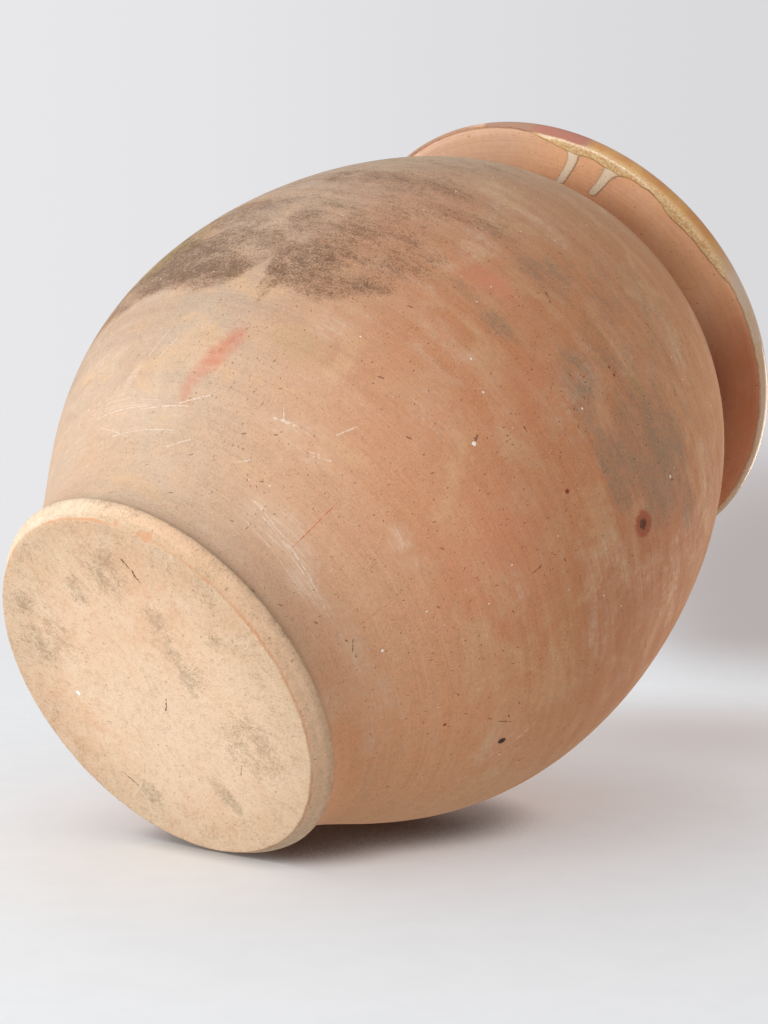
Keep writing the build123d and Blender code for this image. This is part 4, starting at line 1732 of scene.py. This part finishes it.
@dataclass
class GlazeRuns(Assembly):
    """The two thin runs that crept in under the flange."""

    thickness: float = 0.5
    lines: tuple[RunLine, ...] = (
        RunLine(
            "run_long", "glaze_run_long",
            ((164.4, -62.6, 6.4), (161.6, -62.6, 4.8), (158.4, -62.6, 4.1), (154, -62.9, 3.8),
             (149, -63.6, 3.5), (143, -64.6, 3.6), (139, -65.4, 3.4), (137.2, -65.8, 1.8)),
        ),
        RunLine(
            "run_short", "glaze_run_short",
            ((165.2, -51.6, 9.5), (162.4, -52, 6.6), (159, -52.6, 4.6), (154.5, -53.1, 3.9),
             (149, -53.7, 3.6), (143, -54.6, 3.4), (140, -55.1, 3), (138.4, -55.3, 1.4)),
        ),
    )

    def build(self) -> None:
        """Draw each run as a low rounded ribbon that lies on the flange's underside."""
        for line in self.lines:
            mesh = bmesh.new()
            bmesh.ops.create_grid(mesh, x_segments=14, y_segments=60, size=0.5)
            for point in mesh.verts:
                point.co = self.lay(line, point.co.x * 2.0, point.co.y + 0.5)
            skirt = bmesh.ops.extrude_face_region(mesh, geom=mesh.faces[:])
            for item in skirt["geom"]:
                if isinstance(item, bmesh.types.BMVert):
                    item.co.z = (self.outline.flange_level + 0.4) * MM
            bmesh.ops.recalc_face_normals(mesh, faces=mesh.faces)
            piece = finish_piece(mesh, line.name, [line.node], 60.0)
            levels = self.outline.flange_level - places_of(piece)[:, 2] / MM
            paint(piece, "rim", 1.0 - ease(levels, self.thickness * 0.3, self.thickness * 0.68))
            self.pieces.append(piece)

    def lay(self, line: RunLine, across: float, along: float) -> Vector:
        """Return the place of a point of the ribbon.

        Args:
            line: The run.
            across: From -1 to 1 across it.
            along: From 0 at the margin to 1 at its tip.

        Returns:
            The place in metres.
        """
        steps = np.linspace(0.0, 1.0, len(line.places))
        radius, bearing, half = (float(np.interp(along, steps, column)) for column in zip(*line.places))
        stray = 0.35 * noise.noise(Vector((across * 1.5, along * 9.0, radius)))
        turn = math.radians(bearing) + (across * half * (1.0 + 0.12 * stray) + stray) / radius
        crown = max(0.0, 1.0 - across * across) ** 0.4 * min(1.0, (1.0 - along) * 14.0) ** 0.5
        level = self.outline.flange_level - self.thickness * crown * (0.75 + 0.25 * stray)
        return Vector((math.cos(turn) * radius, math.sin(turn) * radius, level)) * MM

    def dress(self) -> None:
        """Give the runs their milky glaze."""
        self.cover(CreamRun().material())


# ---- studio


@dataclass
class Studio:
    """Pale floor, soft light and the camera that stood over the lying jar."""

    camera_place: Triple = (0.760143119, -0.432202046, -0.556369401)
    camera_right: Triple = (0.765196666, 0.316841531, 0.56043332)
    camera_down: Triple = (0.0, 0.870513016, -0.492145394)
    camera_ahead: Triple = (-0.6437966, 0.376588015, 0.666113658)
    lens: float = 63.3526
    floor_up: Triple = (0.0188, -0.8811, 0.4725)
    floor_offset: float = -0.1004
    backdrop: Colour = tint(226, 225, 227)
    floor_tone: Colour = (0.66, 0.68, 0.70, 1.0)
    floor_lift: float = 0.26
    # A shadow painted on the floor where the jar touches it, from ambient occlusion, deepest near the heel
    # pixel.
    contact_shadow: float = 0.0
    contact_shadow_reach: float = 0.05
    contact_shadow_tone: Colour = (0.10, 0.08, 0.075, 1.0)
    heel_pixel: Pair = (360.0, 836.0)
    crossing: float = -0.114
    # A soft shadow painted on the floor beside the jar: its strength, colour and the pixel it lies under.
    painted_shadow: float = 0.74
    painted_shadow_tone: Colour = tint(168, 150, 142)
    painted_shadow_pixel: Pair = (700.0, 735.0)
    ambient: float = 0.66
    lean: float = 0.38
    under: float = 0.42
    fill: float = 0.5
    fill_hue: Triple = (1.0, 0.86, 0.74)
    key: float = 0.78
    top: float = 0.18
    light_height: float = 0.21
    middle_height: float = 0.2
    photo_radius: float = 1.5
    photo_fade: Pair = (0.5, 1.35)
    shelf_radius: float = 0.9
    shelf_fade: Pair = (0.13, 0.56)
    shelf_lift: float = 0.42
    shelf_drop: float = 0.0006
    far_away: Triple = (9.0, 9.0, 0.0)

    def camera(self) -> None:
        """Set up the camera as it stood in the jar's own frame."""
        data = bpy.data.cameras.new("camera")
        data.lens = self.lens
        data.sensor_width = SENSOR
        data.clip_start, data.clip_end = 0.01, 50.0
        camera = put_in("camera", data)
        right, down, ahead = (Vector(v) for v in (self.camera_right, self.camera_down, self.camera_ahead))
        turn = Matrix((right, -down, -ahead)).transposed()
        camera.matrix_world = Matrix.Translation(self.camera_place) @ turn.to_4x4()
        bpy.context.scene.camera = camera

    def seen_from_camera(self, right: float, up: float, back: float) -> Vector:
        """Return a way given in the camera's terms in the jar's frame."""
        way = Vector(self.camera_right) * right - Vector(self.camera_down) * up
        return (way - Vector(self.camera_ahead) * back).normalized()

    def ray_through(self, x: float, y: float) -> Vector:
        """Return the way in which the camera sees a place of the picture, given in pixels."""
        focal = self.lens / SENSOR * PICTURE[1]
        way = Vector(self.camera_ahead) * focal + Vector(self.camera_right) * (x - PICTURE[0] / 2)
        return (way + Vector(self.camera_down) * (y - PICTURE[1] / 2)).normalized()

    def softbox(
        self, name: str, way: Vector, strength: float, distance: float, size: float
    ) -> bpy.types.AreaLight:
        """Hang a soft light.

        Args:
            name: Its name.
            way: The way from the jar to the light.
            strength: How brightly it lights a white surface that faces it.
            distance: How far from the jar's middle it hangs, in metres.
            size: Its width, in metres.

        Returns:
            The light.
        """
        data = bpy.data.lights.new(name, "AREA")
        data.shape = "DISK"
        data.size = size
        data.energy = strength * math.pi * math.pi * distance * distance
        stand(put_in(name, data), Vector((0.0, 0.0, self.light_height)) + way * distance, way)
        return data

    def world(self) -> None:
        """Light the room from all round and show a pale backdrop with painted light and shade: lighter on the
        left, darker on the right and with a soft painted shadow.
        """
        world = bpy.data.worlds.new("room")
        bpy.context.scene.world = world
        world.use_nodes = True
        graph = Graph(world.node_tree)
        world.node_tree.nodes.clear()
        way = graph.put("ShaderNodeTexCoord").outputs["Generated"]
        # Painted light and shade on the backdrop: lighter towards the window light on the left, darker to the
        # right, and a soft shadow painted round one way to the lower right.
        side = graph.along(way, Vector(self.camera_right))
        shown = graph.blend(graph.ramp(side, -0.22, 0.22), tint(232, 232, 234), tint(218, 217, 220))
        shade = graph.along(way, self.ray_through(775.0, 585.0))
        shown = graph.blend(graph.ramp(shade, 0.9955, 0.9999, 0.0, 0.85), shown, tint(176, 166, 163))
        bright = graph.along(way, self.seen_from_camera(-0.8, 0.25, 0.55))
        strength = graph.times(graph.work("MULTIPLY_ADD", bright, self.lean, 1.0), self.ambient)
        shaded = graph.along(way, self.seen_from_camera(0.25, -0.85, -0.45))
        strength = graph.times(strength, graph.ramp(shaded, 0.35, 0.95, 1.0, self.under))
        hue = graph.blend(graph.ramp(shaded, 0.0, 0.9), (1.0, 1.0, 1.0, 1.0), (1.0, 0.80, 0.68, 1.0))
        light = graph.put("ShaderNodeBackground", {"Color": hue, "Strength": strength})
        wall = graph.put("ShaderNodeBackground", {"Color": shown, "Strength": 1.0})
        path = graph.put("ShaderNodeLightPath")
        seen = graph.most(path.outputs["Is Camera Ray"], path.outputs["Is Transmission Ray"])
        both = graph.put("ShaderNodeMixShader", {"Fac": seen, 1: light.outputs[0], 2: wall.outputs[0]})
        graph.put("ShaderNodeOutputWorld", {"Surface": both.outputs[0]})

    def floor_material(
        self, name: str, fade: Pair, lift: float, painted_shadow: Vector, heel: Vector
    ) -> Material:
        """Build a floor that is seen from above only and fades into the backdrop.

        Args:
            name: The material's name.
            fade: Distances from its middle at which it starts to fade and has gone, in metres.
            lift: Light of its own, to bring it up to the backdrop.
            painted_shadow: Where on it the painted soft shadow lies.
            heel: Where the shadow painted under the jar is deepest.

        Returns:
            The material.
        """
        material = bpy.data.materials.new(name)
        material.use_nodes = True
        graph = Graph(material.node_tree)
        material.node_tree.nodes.clear()
        place = graph.put("ShaderNodeTexCoord").outputs["Object"]
        reach = graph.length(place)
        weave = graph.cloud(place, 30.0, 4.0, 0.6)
        tone = graph.blend(graph.ramp(weave, 0.4, 0.62, 0.0, 0.02), self.floor_tone, (0.0, 0.0, 0.0, 1.0))
        # A soft shadow painted on the floor round the given place.
        painted_shadow_mask = graph.ramp(graph.gap(place, painted_shadow), 0.0, 0.36, self.painted_shadow, 0.0)
        tone = graph.blend(painted_shadow_mask, tone, self.painted_shadow_tone)
        # Painted shadow where the jar touches: the floor's colour and glow darkened where ambient occlusion
        # finds the jar close, most near the heel.
        closed = graph.put("ShaderNodeAmbientOcclusion", {"Distance": self.contact_shadow_reach}, samples=8)
        contact_shadow = graph.ramp(closed.outputs["AO"], 0.06, 0.5, self.contact_shadow, 1.0)
        away = graph.ramp(graph.gap(place, heel), 0.04, 0.16, 0.0, 0.5)
        contact_shadow = graph.most(contact_shadow, away)
        tone = graph.blend(contact_shadow, self.contact_shadow_tone, tone)
        matt = graph.put("ShaderNodeBsdfDiffuse", {"Color": tone})
        shine = graph.times(contact_shadow, lift)
        glow = graph.put("ShaderNodeEmission", {"Color": self.backdrop, "Strength": shine})
        both = graph.put("ShaderNodeAddShader", {0: matt.outputs[0], 1: glow.outputs[0]})
        clear = graph.put("ShaderNodeBsdfTransparent")
        gone = graph.ramp(reach, *fade)
        if name == "shelf":
            x, y, _ = graph.split(place)
            across = graph.work("ABSOLUTE", graph.minus(y, self.crossing))
            sideways = graph.ramp(graph.work("ABSOLUTE", x), 0.06, 0.17)
            seam = graph.times(graph.ramp(across, 0.0, 0.14, 1.0, 0.0), sideways)
            gone = graph.most(gone, seam)
        behind = graph.put("ShaderNodeNewGeometry").outputs["Backfacing"]
        feeds = {"Fac": graph.most(gone, behind), 1: both.outputs[0], 2: clear.outputs[0]}
        mix = graph.put("ShaderNodeMixShader", feeds)
        graph.put("ShaderNodeOutputMaterial", {"Surface": mix.outputs[0]})
        return material

    def floor(self, name: str, middle: Vector, up: Vector, radius: float, material: Material) -> None:
        """Lay a round floor that only the camera sees.

        Args:
            name: Its name.
            middle: Its middle.
            up: The way it faces.
            radius: Its radius in metres.
            material: Its material.
        """
        mesh = bmesh.new()
        bmesh.ops.create_circle(mesh, cap_ends=True, segments=96, radius=radius)
        data = bpy.data.meshes.new(name)
        mesh.to_mesh(data)
        mesh.free()
        floor = put_in(name, data)
        stand(floor, middle, up)
        data.materials.append(material)
        floor.visible_diffuse = False
        floor.visible_glossy = False
        floor.visible_transmission = False
        floor.visible_shadow = False

    def build(self) -> None:
        """Set up the camera, the lights, the room and both floors."""
        self.camera()
        self.softbox("window", self.seen_from_camera(-0.76, 0.03, 0.65), self.key, 1.7, 1.3)
        self.softbox("skylight", Vector((-0.4, -0.6, 0.7)).normalized(), self.top, 1.8, 1.4)
        fill = self.softbox("fill", Vector((0.3, 0.62, 0.72)).normalized(), self.fill, 1.8, 1.2)
        fill.color = self.fill_hue
        self.world()
        up = Vector(self.floor_up).normalized()
        middle = Vector((0.0, 0.0, self.middle_height))
        middle += up * (self.floor_offset - up.dot(middle))
        eye, places = Vector(self.camera_place), []
        for pixel in (self.painted_shadow_pixel, self.heel_pixel):
            ray = self.ray_through(*pixel)
            hit = eye + ray * ((self.floor_offset - up.dot(eye)) / up.dot(ray))
            places.append(up.to_track_quat("Z", "Y").inverted() @ (hit - middle))
        matt = self.floor_material("photo_floor", self.photo_fade, self.floor_lift, *places)
        self.floor("photo_floor", middle, up, self.photo_radius, matt)
        pale = self.floor_material("shelf", self.shelf_fade, self.shelf_lift, Vector(self.far_away), Vector())
        sky = Vector((0.0, 0.0, 1.0))
        self.floor("shelf", sky * -self.shelf_drop, sky, self.shelf_radius, pale)


def view_settings() -> None:
    """Show colours as they are written."""
    bpy.context.scene.view_settings.view_transform = "Standard"


def main() -> None:
    """Build the jar's sub-assemblies in order, dress them and set up the studio."""
    logging.basicConfig(level=logging.INFO, format="%(name)s: %(message)s")
    outline, relief = Outline(), Relief()
    assemblies = (
        Foot(outline),
        Walls(outline, relief, WallStains()),
        Rim(outline),
        InnerGlaze(outline, relief),
        LipGlaze(outline),
        GlazeRuns(outline),
    )
    for assembly in assemblies:
        assembly.build()
        assembly.dress()
        log.info("%s is built", type(assembly).__name__)
    Studio().build()
    view_settings()


if __name__ == "__main__":
    main()
